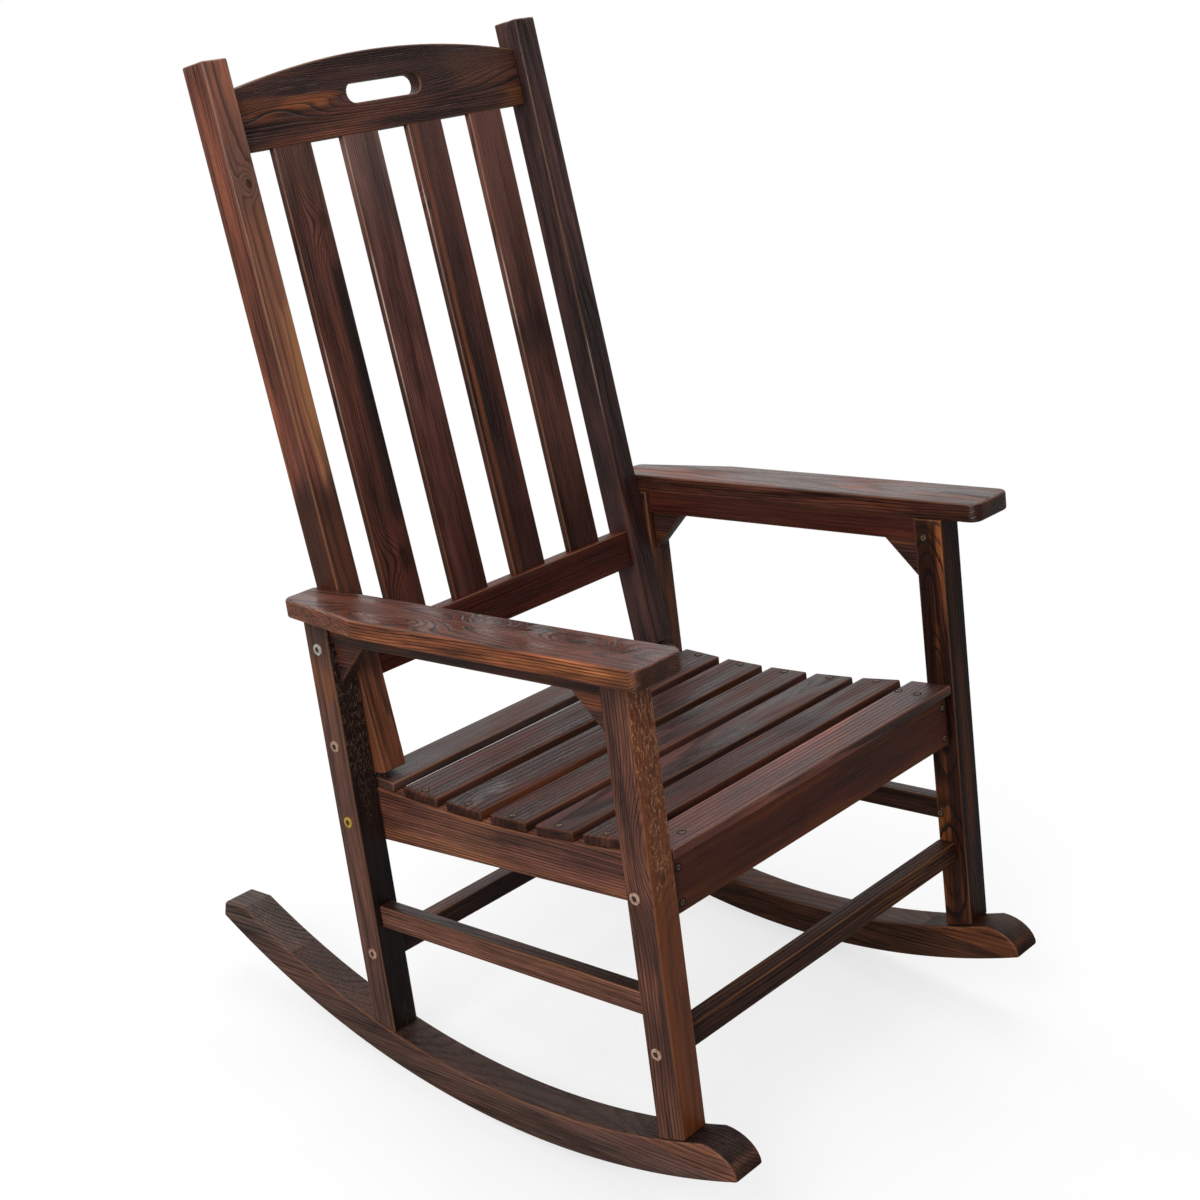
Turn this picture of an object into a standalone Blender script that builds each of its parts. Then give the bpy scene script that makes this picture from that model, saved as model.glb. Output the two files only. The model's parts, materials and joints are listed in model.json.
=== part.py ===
"""Porch rocking chair of stained softwood, bolted together from two side frames, a seat and a back."""
import math

import bmesh
import bpy
from mathutils import Matrix, Vector

# All sizes are in metres. The chair is drawn square to its legs: X runs across the chair,
# Y runs back from the front faces of the front legs, Z runs up from the lowest line of the rockers.

# Fits
GAP = 0.0003
SOCKET_CLEARANCE = 0.0004
EASE = 0.0015
WELD_DISTANCE = 0.00001
FLAT_ANGLE = math.radians(0.2)
CORNER_ANGLE = math.radians(60)
END_SLOPE = math.radians(25)

# Side frames
FRAME_HALF_WIDTH = 0.300
LEG_WIDTH = 0.0375
LEG_DEPTH = 0.038
REAR_LEG_SETBACK = 0.466
LEG_TENON_SIDE = 0.020
FOOT_TENON_LENGTH = 0.008
HEAD_TENON_LENGTH = 0.011

# Rockers
ROCKER_RADIUS = 1.0365
ROCKER_DEPTH = 0.044
ROCKER_WIDTH = 0.0445
ROCKER_PROUD = 0.001
ROCKER_MIDDLE = 0.247
TOE_OVERHANG = 0.0695
TOE_ROUND_START = 0.025
TOE_ROUND_STEPS = 8
HEEL_OVERHANG = 0.284
HEEL_END_HEIGHT = 0.0216
HEEL_TOP_SETBACK = 0.010
HEEL_CHAMFER = 0.0035
TOE_SEAM_SETBACK = 0.0167
HEEL_SEAM_SETBACK = 0.0112
ARC_STEP = math.radians(1.6)

# Armrests
ARM_UNDERSIDE = 0.6045
ARM_THICKNESS = 0.023
ARM_WIDTH = 0.0745
ARM_FRONT_OVERHANG = 0.051
ARM_REAR_OVERHANG = 0.014
ARM_TAPER_LENGTH = 0.147
ARM_TAPER_INSET = 0.0245
ARM_FRONT_CORNER = 0.014
ARM_REAR_CORNER = 0.009
ARM_EASE = 0.003
CORNER_STEPS = 5

# Rails of the side frames
ARM_RAIL_HEIGHT = 0.030
ARM_RAIL_THICKNESS = 0.028
SIDE_STRETCHER_BOTTOM = 0.2095
SIDE_STRETCHER_HEIGHT = 0.028
SIDE_STRETCHER_THICKNESS = 0.020
RAIL_TENON_LENGTH = 0.012
RAIL_TENON_THICKNESS = 0.010
RAIL_TENON_SHOULDER = 0.005
BRACE_REACH = 0.052
BRACE_THICKNESS = 0.018

# Cross stretchers between the side frames
CROSS_STRETCHER_BOTTOM = 0.160
CROSS_STRETCHER_HEIGHT = 0.0265
CROSS_STRETCHER_THICKNESS = 0.024
REAR_CROSS_SETBACK = 0.0045

# Seat
SEAT_RAIL_THICKNESS = 0.025
SEAT_RAIL_FRONT_BOTTOM = 0.3249
SEAT_RAIL_FALL = math.radians(1.65)
SEAT_DISH_RADIUS = 1.80
SEAT_DISH_LOW_HEIGHT = 0.3705
SEAT_DISH_LOW_SETBACK = 0.280
SEAT_DISH_STEPS = 16
SLAT_THICKNESS = 0.012
SLAT_WIDTH = 0.0575
SLAT_PITCH = 0.0731
SLAT_END_SETBACK = 0.002
FRONT_SLAT_PITCH_ANGLE = math.radians(2.4)
FRONT_SLAT_NOSE = 0.0005
REGULAR_SLATS = 5
REAR_SLAT_WIDTH = 0.048
REAR_SLAT_GAP = 0.017
APRON_THICKNESS = 0.012
APRON_SETBACK = 0.008
APRON_BOTTOM = 0.3205
APRON_END_SETBACK = 0.005

# Back, drawn square to its stiles: Y runs back from their front faces, Z runs up from their feet
STILE_WIDTH = 0.035
STILE_DEPTH = 0.039
STILE_LENGTH = 0.8335
STILE_LEAN = math.radians(7.48)
STILE_FOOT_ADVANCE = 0.017
STILE_FOOT_HEIGHT = 0.4015
CREST_SETBACK = 0.014
CREST_THICKNESS = 0.0195
CREST_DROP = 0.104
CREST_END_HEIGHT = 0.0694
CREST_RISE = 0.0245
CREST_ARC_STEPS = 24
CREST_TENON_LENGTH = 0.012
CREST_TENON_THICKNESS = 0.010
CREST_TENON_SHOULDER = 0.010
HANDLE_LENGTH = 0.117
HANDLE_HEIGHT = 0.024
HANDLE_ABOVE_CREST_BOTTOM = 0.047
HANDLE_END_STEPS = 8
LOWER_RAIL_SETBACK = 0.005
LOWER_RAIL_THICKNESS = 0.028
LOWER_RAIL_BOTTOM = 0.112
LOWER_RAIL_HEIGHT = 0.048
LOWER_TENON_LENGTH = 0.014
LOWER_TENON_THICKNESS = 0.012
LOWER_TENON_SHOULDER = 0.008
BACK_SLATS = 4
BACK_SLAT_WIDTH = 0.056
BACK_SLAT_THICKNESS = 0.010
BACK_SLAT_PITCH = 0.1035
BACK_SLAT_SETBACK = 0.015
BACK_SLAT_TENON_LENGTH = 0.010
BACK_SLAT_TENON_THICKNESS = 0.006
BACK_SLAT_TENON_SHOULDER = 0.008

# Bolts
BOLT_HEAD_RADIUS = 0.007
BOLT_HEAD_THICKNESS = 0.003
BOLT_HEAD_PROUD = 0.0008
BOLT_HEAD_EDGE = 0.0008
BOLT_SHANK_RADIUS = 0.003
BOLT_GRIP = 0.022
BOLT_SIDES = 16
BOLT_SOCKET_RADIUS = 0.0036
BOLT_SOCKET_DEPTH = 0.0018
BOLT_SOCKET_SIDES = 6
BACK_BOLT_UPPER_DROP = 0.0395
BACK_BOLT_LOWER_RISE = 0.0425
CROSS_BOLT_EDGE_DISTANCE = 0.010
SEAT_BOLT_EDGE_DISTANCE = 0.005

# Densities that set the angle at which the chair comes to rest
WOOD_DENSITY = 650.0
STEEL_DENSITY = 7850.0

WALNUT = (0.068, 0.028, 0.019)
RED_WALNUT = (0.110, 0.038, 0.021)
DARK_WALNUT = (0.048, 0.024, 0.021)
STEEL = (0.42, 0.36, 0.30)

# Derived places
LEG_INNER = FRAME_HALF_WIDTH - LEG_WIDTH
LEG_CENTRE = FRAME_HALF_WIDTH - LEG_WIDTH / 2
REAR_LEG_BACK = REAR_LEG_SETBACK + LEG_DEPTH
ROCKER_TOP_RADIUS = ROCKER_RADIUS - ROCKER_DEPTH
STILE_OUTER = LEG_INNER - GAP
STILE_INNER = STILE_OUTER - STILE_WIDTH
SEAT_RAIL_OUTER = LEG_INNER - GAP
SEAT_RAIL_CENTRE = SEAT_RAIL_OUTER - SEAT_RAIL_THICKNESS / 2
SEAT_RAIL_FRONT = APRON_SETBACK + APRON_THICKNESS + GAP
STILE_FOOT_SETBACK = REAR_LEG_SETBACK - STILE_FOOT_ADVANCE
CREST_BOTTOM = STILE_LENGTH - CREST_DROP

for stale in list(bpy.data.objects):
    bpy.data.objects.remove(stale, do_unlink=True)

chairCollection = bpy.data.collections.new("rocking_chair")
cutterCollection = bpy.data.collections.new("rocking_chair_cutters")
bpy.context.scene.collection.children.link(chairCollection)
bpy.context.scene.collection.children.link(cutterCollection)

chairFrame = bpy.data.objects.new("chair_frame", None)
backFrame = bpy.data.objects.new("back_frame", None)
for empty in (chairFrame, backFrame):
    chairCollection.objects.link(empty)
backFrame.parent = chairFrame
backFrame.location = (0.0, STILE_FOOT_SETBACK, STILE_FOOT_HEIGHT)
backFrame.rotation_euler = (-STILE_LEAN, 0.0, 0.0)


def makeMaterial(name, colour, roughness, metallic=0.0):
    material = bpy.data.materials.new(name)
    material.use_nodes = True
    shader = material.node_tree.nodes["Principled BSDF"]
    shader.inputs["Base Color"].default_value = (*colour, 1.0)
    shader.inputs["Roughness"].default_value = roughness
    shader.inputs["Metallic"].default_value = metallic
    return material


rockerWood = makeMaterial("rocker_wood", DARK_WALNUT, 0.45)
frameWood = makeMaterial("frame_wood", WALNUT, 0.45)
armWood = makeMaterial("arm_wood", WALNUT, 0.38)
seatWood = makeMaterial("seat_wood", DARK_WALNUT, 0.35)
backWood = makeMaterial("back_wood", RED_WALNUT, 0.42)
boltSteel = makeMaterial("bolt_steel", STEEL, 0.30, 1.0)


def addObject(name, mesh, material=None, parent=chairFrame):
    """Put a mesh in the chair, or in the cutters where it has no material."""
    piece = bpy.data.objects.new(name, mesh)
    piece.parent = parent
    if material:
        mesh.materials.clear()
        mesh.materials.append(material)
        chairCollection.objects.link(piece)
    else:
        cutterCollection.objects.link(piece)
        piece.hide_render = True
        piece.display_type = "WIRE"
    return piece


def meshFrom(bm, name):
    bmesh.ops.recalc_face_normals(bm, faces=bm.faces)
    mesh = bpy.data.meshes.new(name)
    bm.to_mesh(mesh)
    bm.free()
    return mesh


def boxMesh(size):
    bm = bmesh.new()
    bmesh.ops.create_cube(bm, size=1.0)
    bmesh.ops.scale(bm, vec=size, verts=bm.verts)
    return bm


def easeEdges(bm, width):
    bmesh.ops.bevel(bm, geom=bm.edges[:], offset=width, segments=1, profile=0.5,
                    affect="EDGES", clamp_overlap=True, material=-1)


def addTenon(bm, direction, section, length, middle):
    """Grow a tenon of the given full section about a middle line, from the end face on that side."""
    direction = Vector(direction)
    ends = [face for face in bm.faces if face.normal.angle(direction) < END_SLOPE]
    end = max(ends, key=lambda face: face.calc_area())
    normal = end.normal.copy()
    onEnd = end.calc_center_median()
    bmesh.ops.inset_individual(bm, faces=[end], thickness=EASE)
    for vert in end.verts:
        outward = vert.co - onEnd
        corner = Vector([math.copysign(full / 2, step) for full, step in zip(section, outward)])
        spot = Vector(middle) + corner
        vert.co = spot + direction * ((onEnd - spot).dot(normal) / direction.dot(normal))
    grown = bmesh.ops.extrude_discrete_faces(bm, faces=[end])["faces"][0]
    bmesh.ops.translate(bm, verts=grown.verts, vec=direction * length)


def makeBar(name, low, high, material, parent=chairFrame, tenons=(), ease=EASE, footHeights=None):
    """A straight board between two corners, with eased edges and tenons on its ends."""
    low = Vector(low)
    high = Vector(high)
    centre = (low + high) / 2
    bm = boxMesh(high - low)
    bm.normal_update()
    if footHeights:
        for vert in bm.verts:
            if vert.co.z < 0:
                vert.co.z = footHeights[vert.co.y > 0] - centre.z
    easeEdges(bm, ease)
    bm.normal_update()
    for direction, section, length in tenons:
        addTenon(bm, direction, section, length, (0, 0, 0))
    piece = addObject(name, meshFrom(bm, name), material, parent)
    piece.location = centre
    return piece


UPRIGHT = Matrix(((0, 0, 1, 0), (1, 0, 0, 0), (0, 1, 0, 0), (0, 0, 0, 1)))


def makePlate(name, outlines, thickness, material, parent=chairFrame, upright=False, ease=0.0, tenons=()):
    """A flat outline with any holes, given half its thickness to each side of its plane.

    An upright plate has its outline in Y and Z and its thickness along X."""
    flat = bpy.data.curves.new(name, "CURVE")
    flat.dimensions = "2D"
    flat.fill_mode = "BOTH"
    flat.extrude = thickness / 2
    for outline in outlines:
        spline = flat.splines.new("POLY")
        spline.points.add(len(outline) - 1)
        for point, (u, v) in zip(spline.points, outline):
            point.co = (u, v, 0.0, 1.0)
        spline.use_cyclic_u = True
    drawn = bpy.data.objects.new(name + "_outline", flat)
    cutterCollection.objects.link(drawn)
    mesh = bpy.data.meshes.new_from_object(drawn.evaluated_get(bpy.context.evaluated_depsgraph_get()))
    bpy.data.objects.remove(drawn)
    bpy.data.curves.remove(flat)
    bm = bmesh.new()
    bm.from_mesh(mesh)
    bpy.data.meshes.remove(mesh)
    bmesh.ops.remove_doubles(bm, verts=bm.verts, dist=WELD_DISTANCE)
    bmesh.ops.dissolve_limit(bm, angle_limit=FLAT_ANGLE, verts=bm.verts, edges=bm.edges)
    bmesh.ops.recalc_face_normals(bm, faces=bm.faces)
    for direction, section, length, middle in tenons:
        addTenon(bm, direction, section, length, middle)
    if upright:
        bmesh.ops.transform(bm, matrix=UPRIGHT, verts=bm.verts)
    piece = addObject(name, meshFrom(bm, name), material, parent)
    if ease:
        rounding = piece.modifiers.new("eased_edges", "BEVEL")
        rounding.width = ease
        rounding.segments = 2
        rounding.limit_method = "ANGLE"
        rounding.angle_limit = CORNER_ANGLE
    return piece


def cut(target, cutter):
    difference = target.modifiers.new("cut_" + cutter.name, "BOOLEAN")
    difference.operation = "DIFFERENCE"
    difference.object = cutter


def cutSocket(name, targets, centre, size, parent=chairFrame):
    """Sink a mortise that is larger than its tenon by the socket clearance on every side."""
    bm = boxMesh(Vector(size) + Vector((2, 2, 2)) * SOCKET_CLEARANCE)
    socket = addObject(name, meshFrom(bm, name), None, parent)
    socket.location = centre
    for target in targets:
        cut(target, socket)


def turnedMesh(name, profile):
    """Mesh of a profile of radius and height, run from the top of the axis to its foot."""
    mesh = bpy.data.meshes.new(name)
    mesh.from_pydata([(radius, 0.0, height) for radius, height in profile],
                     [(i, i + 1) for i in range(len(profile) - 1)], [])
    turning = bpy.data.objects.new(name + "_turning", mesh)
    cutterCollection.objects.link(turning)
    screw = turning.modifiers.new("turned", "SCREW")
    screw.steps = BOLT_SIDES
    screw.render_steps = BOLT_SIDES
    screw.use_merge_vertices = True
    screw.merge_threshold = WELD_DISTANCE
    turned = bpy.data.meshes.new_from_object(turning.evaluated_get(bpy.context.evaluated_depsgraph_get()))
    bpy.data.objects.remove(turning)
    bpy.data.meshes.remove(mesh)
    turned.name = name
    bm = bmesh.new()
    bm.from_mesh(turned)
    bpy.data.meshes.remove(turned)
    bmesh.ops.dissolve_limit(bm, angle_limit=FLAT_ANGLE, verts=bm.verts, edges=bm.edges)
    return meshFrom(bm, name)


def arcPoint(radius, y):
    """Point of a rocker arc at a distance behind the front legs."""
    return (y, ROCKER_RADIUS - math.sqrt(radius ** 2 - (y - ROCKER_MIDDLE) ** 2))


def arcRun(radius, yStart, yEnd):
    """Points of a rocker arc from one place to another, both included."""
    first = math.asin((yStart - ROCKER_MIDDLE) / radius)
    last = math.asin((yEnd - ROCKER_MIDDLE) / radius)
    steps = max(2, round(abs(last - first) / ARC_STEP))
    angles = [first + (last - first) * i / steps for i in range(steps + 1)]
    return [(ROCKER_MIDDLE + radius * math.sin(a), ROCKER_RADIUS - radius * math.cos(a)) for a in angles]


def seamEnds(radius, lift):
    """Where the straight glue line of a rocker, raised by a lift, crosses an arc in front and behind."""
    front = Vector(arcPoint(ROCKER_RADIUS, TOE_SEAM_SETBACK - TOE_OVERHANG))
    rear = Vector(arcPoint(ROCKER_RADIUS, REAR_LEG_BACK + HEEL_OVERHANG - HEEL_SEAM_SETBACK))
    along = (rear - front).normalized()
    start = front + Vector((0.0, lift)) - Vector((ROCKER_MIDDLE, ROCKER_RADIUS))
    middle = -start.dot(along)
    half = math.sqrt(middle ** 2 - start.length_squared + radius ** 2)
    return [(front + along * (middle + turn * half)).x for turn in (-1, 1)]


def toeOutline():
    seamTop = seamEnds(ROCKER_TOP_RADIUS, GAP)[0]
    seamUnder = seamEnds(ROCKER_RADIUS, GAP)[0]
    tip = Vector(arcPoint(ROCKER_RADIUS, -TOE_OVERHANG))
    brow = Vector(arcPoint(ROCKER_TOP_RADIUS, -TOE_ROUND_START))
    nose = []
    for i in range(1, TOE_ROUND_STEPS):
        turn = math.pi / 2 * i / TOE_ROUND_STEPS
        nose.append((brow.x - (brow.x - tip.x) * math.sin(turn), tip.y + (brow.y - tip.y) * math.cos(turn)))
    top = arcRun(ROCKER_TOP_RADIUS, seamTop, -TOE_ROUND_START)
    return top + nose + arcRun(ROCKER_RADIUS, -TOE_OVERHANG, seamUnder)


def heelOutline():
    seamTop = seamEnds(ROCKER_TOP_RADIUS, GAP)[1]
    seamUnder = seamEnds(ROCKER_RADIUS, GAP)[1]
    heelTip = arcPoint(ROCKER_RADIUS, REAR_LEG_BACK + HEEL_OVERHANG)
    top = heelTip[1] + HEEL_END_HEIGHT
    topStart = ROCKER_MIDDLE + math.sqrt(ROCKER_TOP_RADIUS ** 2 - (ROCKER_RADIUS - top) ** 2)
    topEnd = heelTip[0] - HEEL_TOP_SETBACK
    outline = arcRun(ROCKER_TOP_RADIUS, seamTop, topStart)
    outline += [(topEnd, top), (topEnd + HEEL_CHAMFER, top - HEEL_CHAMFER)]
    return outline + arcRun(ROCKER_RADIUS, heelTip[0], seamUnder)


def rockerOutline():
    underFront, underRear = seamEnds(ROCKER_RADIUS, 0.0)
    topFront, topRear = seamEnds(ROCKER_TOP_RADIUS, 0.0)
    return arcRun(ROCKER_RADIUS, underFront, underRear) + arcRun(ROCKER_TOP_RADIUS, topRear, topFront)


def makeRocker(side, sideName):
    centre = side * (FRAME_HALF_WIDTH + ROCKER_PROUD - ROCKER_WIDTH / 2)
    pieces = []
    blocks = (("rocker", rockerOutline()), ("rocker_toe", toeOutline()), ("rocker_heel", heelOutline()))
    for name, outline in blocks:
        piece = makePlate(f"{name}_{sideName}", [outline], ROCKER_WIDTH, rockerWood, upright=True)
        piece.location.x = centre
        pieces.append(piece)
    return pieces


def makeLeg(side, sideName, place, front, rocker, arm):
    """A leg cut to the slope of its rocker, with a stub tenon in the rocker and one in the armrest."""
    back = front + LEG_DEPTH
    feet = [arcPoint(ROCKER_TOP_RADIUS, y)[1] + GAP for y in (front, back)]
    top = ARM_UNDERSIDE - GAP
    edges = sorted((side * LEG_INNER, side * FRAME_HALF_WIDTH))
    section = (LEG_TENON_SIDE, LEG_TENON_SIDE, 0.0)
    tenons = (((0, 0, 1), section, HEAD_TENON_LENGTH), ((0, 0, -1), section, FOOT_TENON_LENGTH))
    leg = makeBar(f"{place}_leg_{sideName}", (edges[0], front, min(feet)), (edges[1], back, top), frameWood,
                  tenons=tenons, footHeights=feet)
    middle = (front + back) / 2
    cutSocket(f"{leg.name}_head_socket", [arm], (side * LEG_CENTRE, middle, top + HEAD_TENON_LENGTH / 2),
              (LEG_TENON_SIDE, LEG_TENON_SIDE, HEAD_TENON_LENGTH))
    footLow = min(feet) - FOOT_TENON_LENGTH
    footHigh = max(feet) + EASE
    cutSocket(f"{leg.name}_foot_socket", [rocker], (side * LEG_CENTRE, middle, (footLow + footHigh) / 2),
              (LEG_TENON_SIDE, LEG_TENON_SIDE, footHigh - footLow))
    return leg


def makeArm(side, sideName):
    inner = LEG_INNER
    outer = LEG_INNER + ARM_WIDTH
    front = -ARM_FRONT_OVERHANG
    back = REAR_LEG_BACK + ARM_REAR_OVERHANG
    corners = ((inner, front, ARM_FRONT_CORNER), (outer, front, ARM_FRONT_CORNER),
               (outer, back - ARM_TAPER_LENGTH, 0.0),
               (outer - ARM_TAPER_INSET, back, ARM_REAR_CORNER), (inner, back, ARM_REAR_CORNER))
    outline = []
    for i, (x, y, radius) in enumerate(corners):
        here = Vector((x, y))
        before = (Vector(corners[i - 1][:2]) - here).normalized()
        after = (Vector(corners[(i + 1) % len(corners)][:2]) - here).normalized()
        if not radius:
            outline.append(here)
            continue
        halfAngle = before.angle(after) / 2
        centre = here + (before + after).normalized() * radius / math.sin(halfAngle)
        start = here + before * radius / math.tan(halfAngle) - centre
        end = here + after * radius / math.tan(halfAngle) - centre
        sweep = start.angle_signed(end)
        for step in range(CORNER_STEPS + 1):
            outline.append(centre + Matrix.Rotation(-sweep * step / CORNER_STEPS, 2) @ start)
    outline = [(side * point.x, point.y) for point in outline]
    arm = makePlate(f"armrest_{sideName}", [outline], ARM_THICKNESS, armWood, ease=ARM_EASE)
    arm.location.z = ARM_UNDERSIDE + ARM_THICKNESS / 2
    return arm


def makeSideRail(name, side, bottom, height, thickness, legs):
    """A rail of a side frame, tenoned into the front and the rear leg."""
    front = LEG_DEPTH + GAP
    back = REAR_LEG_SETBACK - GAP
    section = (RAIL_TENON_THICKNESS, 0.0, height - 2 * RAIL_TENON_SHOULDER)
    centre = side * LEG_CENTRE
    tenons = [((0, turn, 0), section, RAIL_TENON_LENGTH) for turn in (-1, 1)]
    rail = makeBar(name, (centre - thickness / 2, front, bottom),
                   (centre + thickness / 2, back, bottom + height), frameWood, tenons=tenons)
    ends = ((front - RAIL_TENON_LENGTH / 2, legs[0]), (back + RAIL_TENON_LENGTH / 2, legs[1]))
    for y, leg in ends:
        cutSocket(f"{name}_socket_{leg.name}", [leg], (centre, y, bottom + height / 2),
                  (RAIL_TENON_THICKNESS, RAIL_TENON_LENGTH, height - 2 * RAIL_TENON_SHOULDER))
    return rail


def makeBraces(side, sideName):
    """Corner blocks that stiffen the arm rail where it meets each leg."""
    top = ARM_UNDERSIDE - ARM_RAIL_HEIGHT - 2 * GAP
    for place, corner, turn in (("front", LEG_DEPTH + GAP, 1), ("rear", REAR_LEG_SETBACK - GAP, -1)):
        outline = [(corner, top), (corner + turn * BRACE_REACH, top), (corner, top - BRACE_REACH)]
        name = f"corner_brace_{place}_{sideName}"
        brace = makePlate(name, [outline], BRACE_THICKNESS, frameWood, upright=True)
        brace.location.x = side * LEG_CENTRE


def dishHeight(y):
    """Height of the dished top of the seat rails."""
    rise = SEAT_DISH_RADIUS - math.sqrt(SEAT_DISH_RADIUS ** 2 - (y - SEAT_DISH_LOW_SETBACK) ** 2)
    return SEAT_DISH_LOW_HEIGHT + rise


DISH_FRONT = FRONT_SLAT_NOSE + SLAT_WIDTH + (SLAT_PITCH - SLAT_WIDTH) / 2


def frontSeatHeight(y):
    """Height of the straight seat under the front slat."""
    return dishHeight(DISH_FRONT) + (DISH_FRONT - y) * math.tan(FRONT_SLAT_PITCH_ANGLE)


def makeSeatRail(side, sideName):
    bottomBack = SEAT_RAIL_FRONT_BOTTOM - (REAR_LEG_BACK - SEAT_RAIL_FRONT) * math.tan(SEAT_RAIL_FALL)
    outline = [(SEAT_RAIL_FRONT, SEAT_RAIL_FRONT_BOTTOM), (REAR_LEG_BACK, bottomBack)]
    for i in range(SEAT_DISH_STEPS + 1):
        y = REAR_LEG_BACK + (DISH_FRONT - REAR_LEG_BACK) * i / SEAT_DISH_STEPS
        outline.append((y, dishHeight(y)))
    outline.append((SEAT_RAIL_FRONT, frontSeatHeight(SEAT_RAIL_FRONT)))
    rail = makePlate(f"seat_side_rail_{sideName}", [outline], SEAT_RAIL_THICKNESS, seatWood, upright=True)
    rail.location.x = side * SEAT_RAIL_CENTRE
    return rail


def makeSeatSlat(name, middle, width, angle, height):
    """A slat laid across the seat rails, whose underside passes through the given middle height."""
    half = SEAT_RAIL_OUTER - SLAT_END_SETBACK
    bm = boxMesh((2 * half, width, SLAT_THICKNESS))
    easeEdges(bm, EASE)
    slat = addObject(name, meshFrom(bm, name), seatWood)
    slat.rotation_euler.x = angle
    lift = SLAT_THICKNESS / 2 + GAP
    slat.location = (0.0, middle - lift * math.sin(angle), height + lift * math.cos(angle))
    return slat


def makeSeatSlats():
    """The front slat, the regular slats over the dish, and a narrower slat under the back."""
    frontMiddle = FRONT_SLAT_NOSE + SLAT_WIDTH / 2
    frontHeight = frontSeatHeight(frontMiddle)
    makeSeatSlat("seat_slat_front", frontMiddle, SLAT_WIDTH, -FRONT_SLAT_PITCH_ANGLE, frontHeight)
    middles = [(frontMiddle + SLAT_PITCH * (i + 1), SLAT_WIDTH) for i in range(REGULAR_SLATS)]
    lastBack = middles[-1][0] + SLAT_WIDTH / 2
    middles.append((lastBack + REAR_SLAT_GAP + REAR_SLAT_WIDTH / 2, REAR_SLAT_WIDTH))
    for number, (middle, width) in enumerate(middles, 1):
        ends = (middle - width / 2, middle + width / 2)
        low, high = (dishHeight(y) for y in ends)
        name = "seat_slat_rear" if number == len(middles) else f"seat_slat_{number}"
        makeSeatSlat(name, middle, width, math.atan2(high - low, width), (low + high) / 2)


def makeApron():
    half = SEAT_RAIL_OUTER - APRON_END_SETBACK
    back = APRON_SETBACK + APRON_THICKNESS
    top = frontSeatHeight(back) - GAP
    return makeBar("seat_front_apron", (-half, APRON_SETBACK, APRON_BOTTOM), (half, back, top), seatWood)


def makeCrossStretcher(place, front):
    half = LEG_INNER - GAP
    back = front + CROSS_STRETCHER_THICKNESS
    top = CROSS_STRETCHER_BOTTOM + CROSS_STRETCHER_HEIGHT
    return makeBar(f"{place}_cross_stretcher", (-half, front, CROSS_STRETCHER_BOTTOM), (half, back, top),
                   frameWood)


def makeStile(side, sideName):
    edges = sorted((side * STILE_INNER, side * STILE_OUTER))
    return makeBar(f"back_stile_{sideName}", (edges[0], 0.0, 0.0), (edges[1], STILE_DEPTH, STILE_LENGTH),
                   backWood, backFrame)


def makeCrest(stiles):
    """The arched top rail with its hand hold, tenoned into both stiles."""
    half = STILE_INNER - GAP
    tenonHeight = CREST_END_HEIGHT - 2 * CREST_TENON_SHOULDER
    tenon = ((0.0, tenonHeight, CREST_TENON_THICKNESS), CREST_TENON_LENGTH,
             (0.0, CREST_BOTTOM + CREST_END_HEIGHT / 2, 0.0))
    archRadius = (half ** 2 + CREST_RISE ** 2) / (2 * CREST_RISE)
    archCentre = CREST_BOTTOM + CREST_END_HEIGHT + CREST_RISE - archRadius
    outline = [(-half, CREST_BOTTOM), (half, CREST_BOTTOM)]
    for i in range(CREST_ARC_STEPS + 1):
        x = half - 2 * half * i / CREST_ARC_STEPS
        outline.append((x, archCentre + math.sqrt(archRadius ** 2 - x ** 2)))
    handleMiddle = CREST_BOTTOM + HANDLE_ABOVE_CREST_BOTTOM
    endRadius = HANDLE_HEIGHT / 2
    handle = []
    for end in (1, -1):
        for i in range(HANDLE_END_STEPS + 1):
            turn = -math.pi / 2 + math.pi * i / HANDLE_END_STEPS
            handle.append((end * (HANDLE_LENGTH / 2 - endRadius + endRadius * math.cos(turn)),
                           handleMiddle + end * endRadius * math.sin(turn)))
    crest = makePlate("crest_rail", [outline, handle], CREST_THICKNESS, backWood, backFrame,
                      tenons=(((-1, 0, 0), *tenon), ((1, 0, 0), *tenon)))
    crest.rotation_euler.x = math.pi / 2
    crest.location.y = CREST_SETBACK + CREST_THICKNESS / 2
    for side, stile in zip((-1, 1), stiles):
        cutSocket(f"crest_socket_{stile.name}", [stile],
                  (side * (half + CREST_TENON_LENGTH / 2), crest.location.y,
                   CREST_BOTTOM + CREST_END_HEIGHT / 2),
                  (CREST_TENON_LENGTH, CREST_TENON_THICKNESS, tenonHeight), backFrame)
    return crest


def makeLowerRail(stiles):
    half = STILE_INNER - GAP
    tenonHeight = LOWER_RAIL_HEIGHT - 2 * LOWER_TENON_SHOULDER
    section = (0.0, LOWER_TENON_THICKNESS, tenonHeight)
    middle = (LOWER_RAIL_SETBACK + LOWER_RAIL_THICKNESS / 2, LOWER_RAIL_BOTTOM + LOWER_RAIL_HEIGHT / 2)
    tenons = [((side, 0, 0), section, LOWER_TENON_LENGTH) for side in (-1, 1)]
    rail = makeBar("lower_back_rail", (-half, LOWER_RAIL_SETBACK, LOWER_RAIL_BOTTOM),
                   (half, LOWER_RAIL_SETBACK + LOWER_RAIL_THICKNESS, LOWER_RAIL_BOTTOM + LOWER_RAIL_HEIGHT),
                   backWood, backFrame, tenons=tenons)
    for side, stile in zip((-1, 1), stiles):
        cutSocket(f"lower_socket_{stile.name}", [stile], (side * (half + LOWER_TENON_LENGTH / 2), *middle),
                  (LOWER_TENON_LENGTH, LOWER_TENON_THICKNESS, tenonHeight), backFrame)
    return rail


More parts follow.
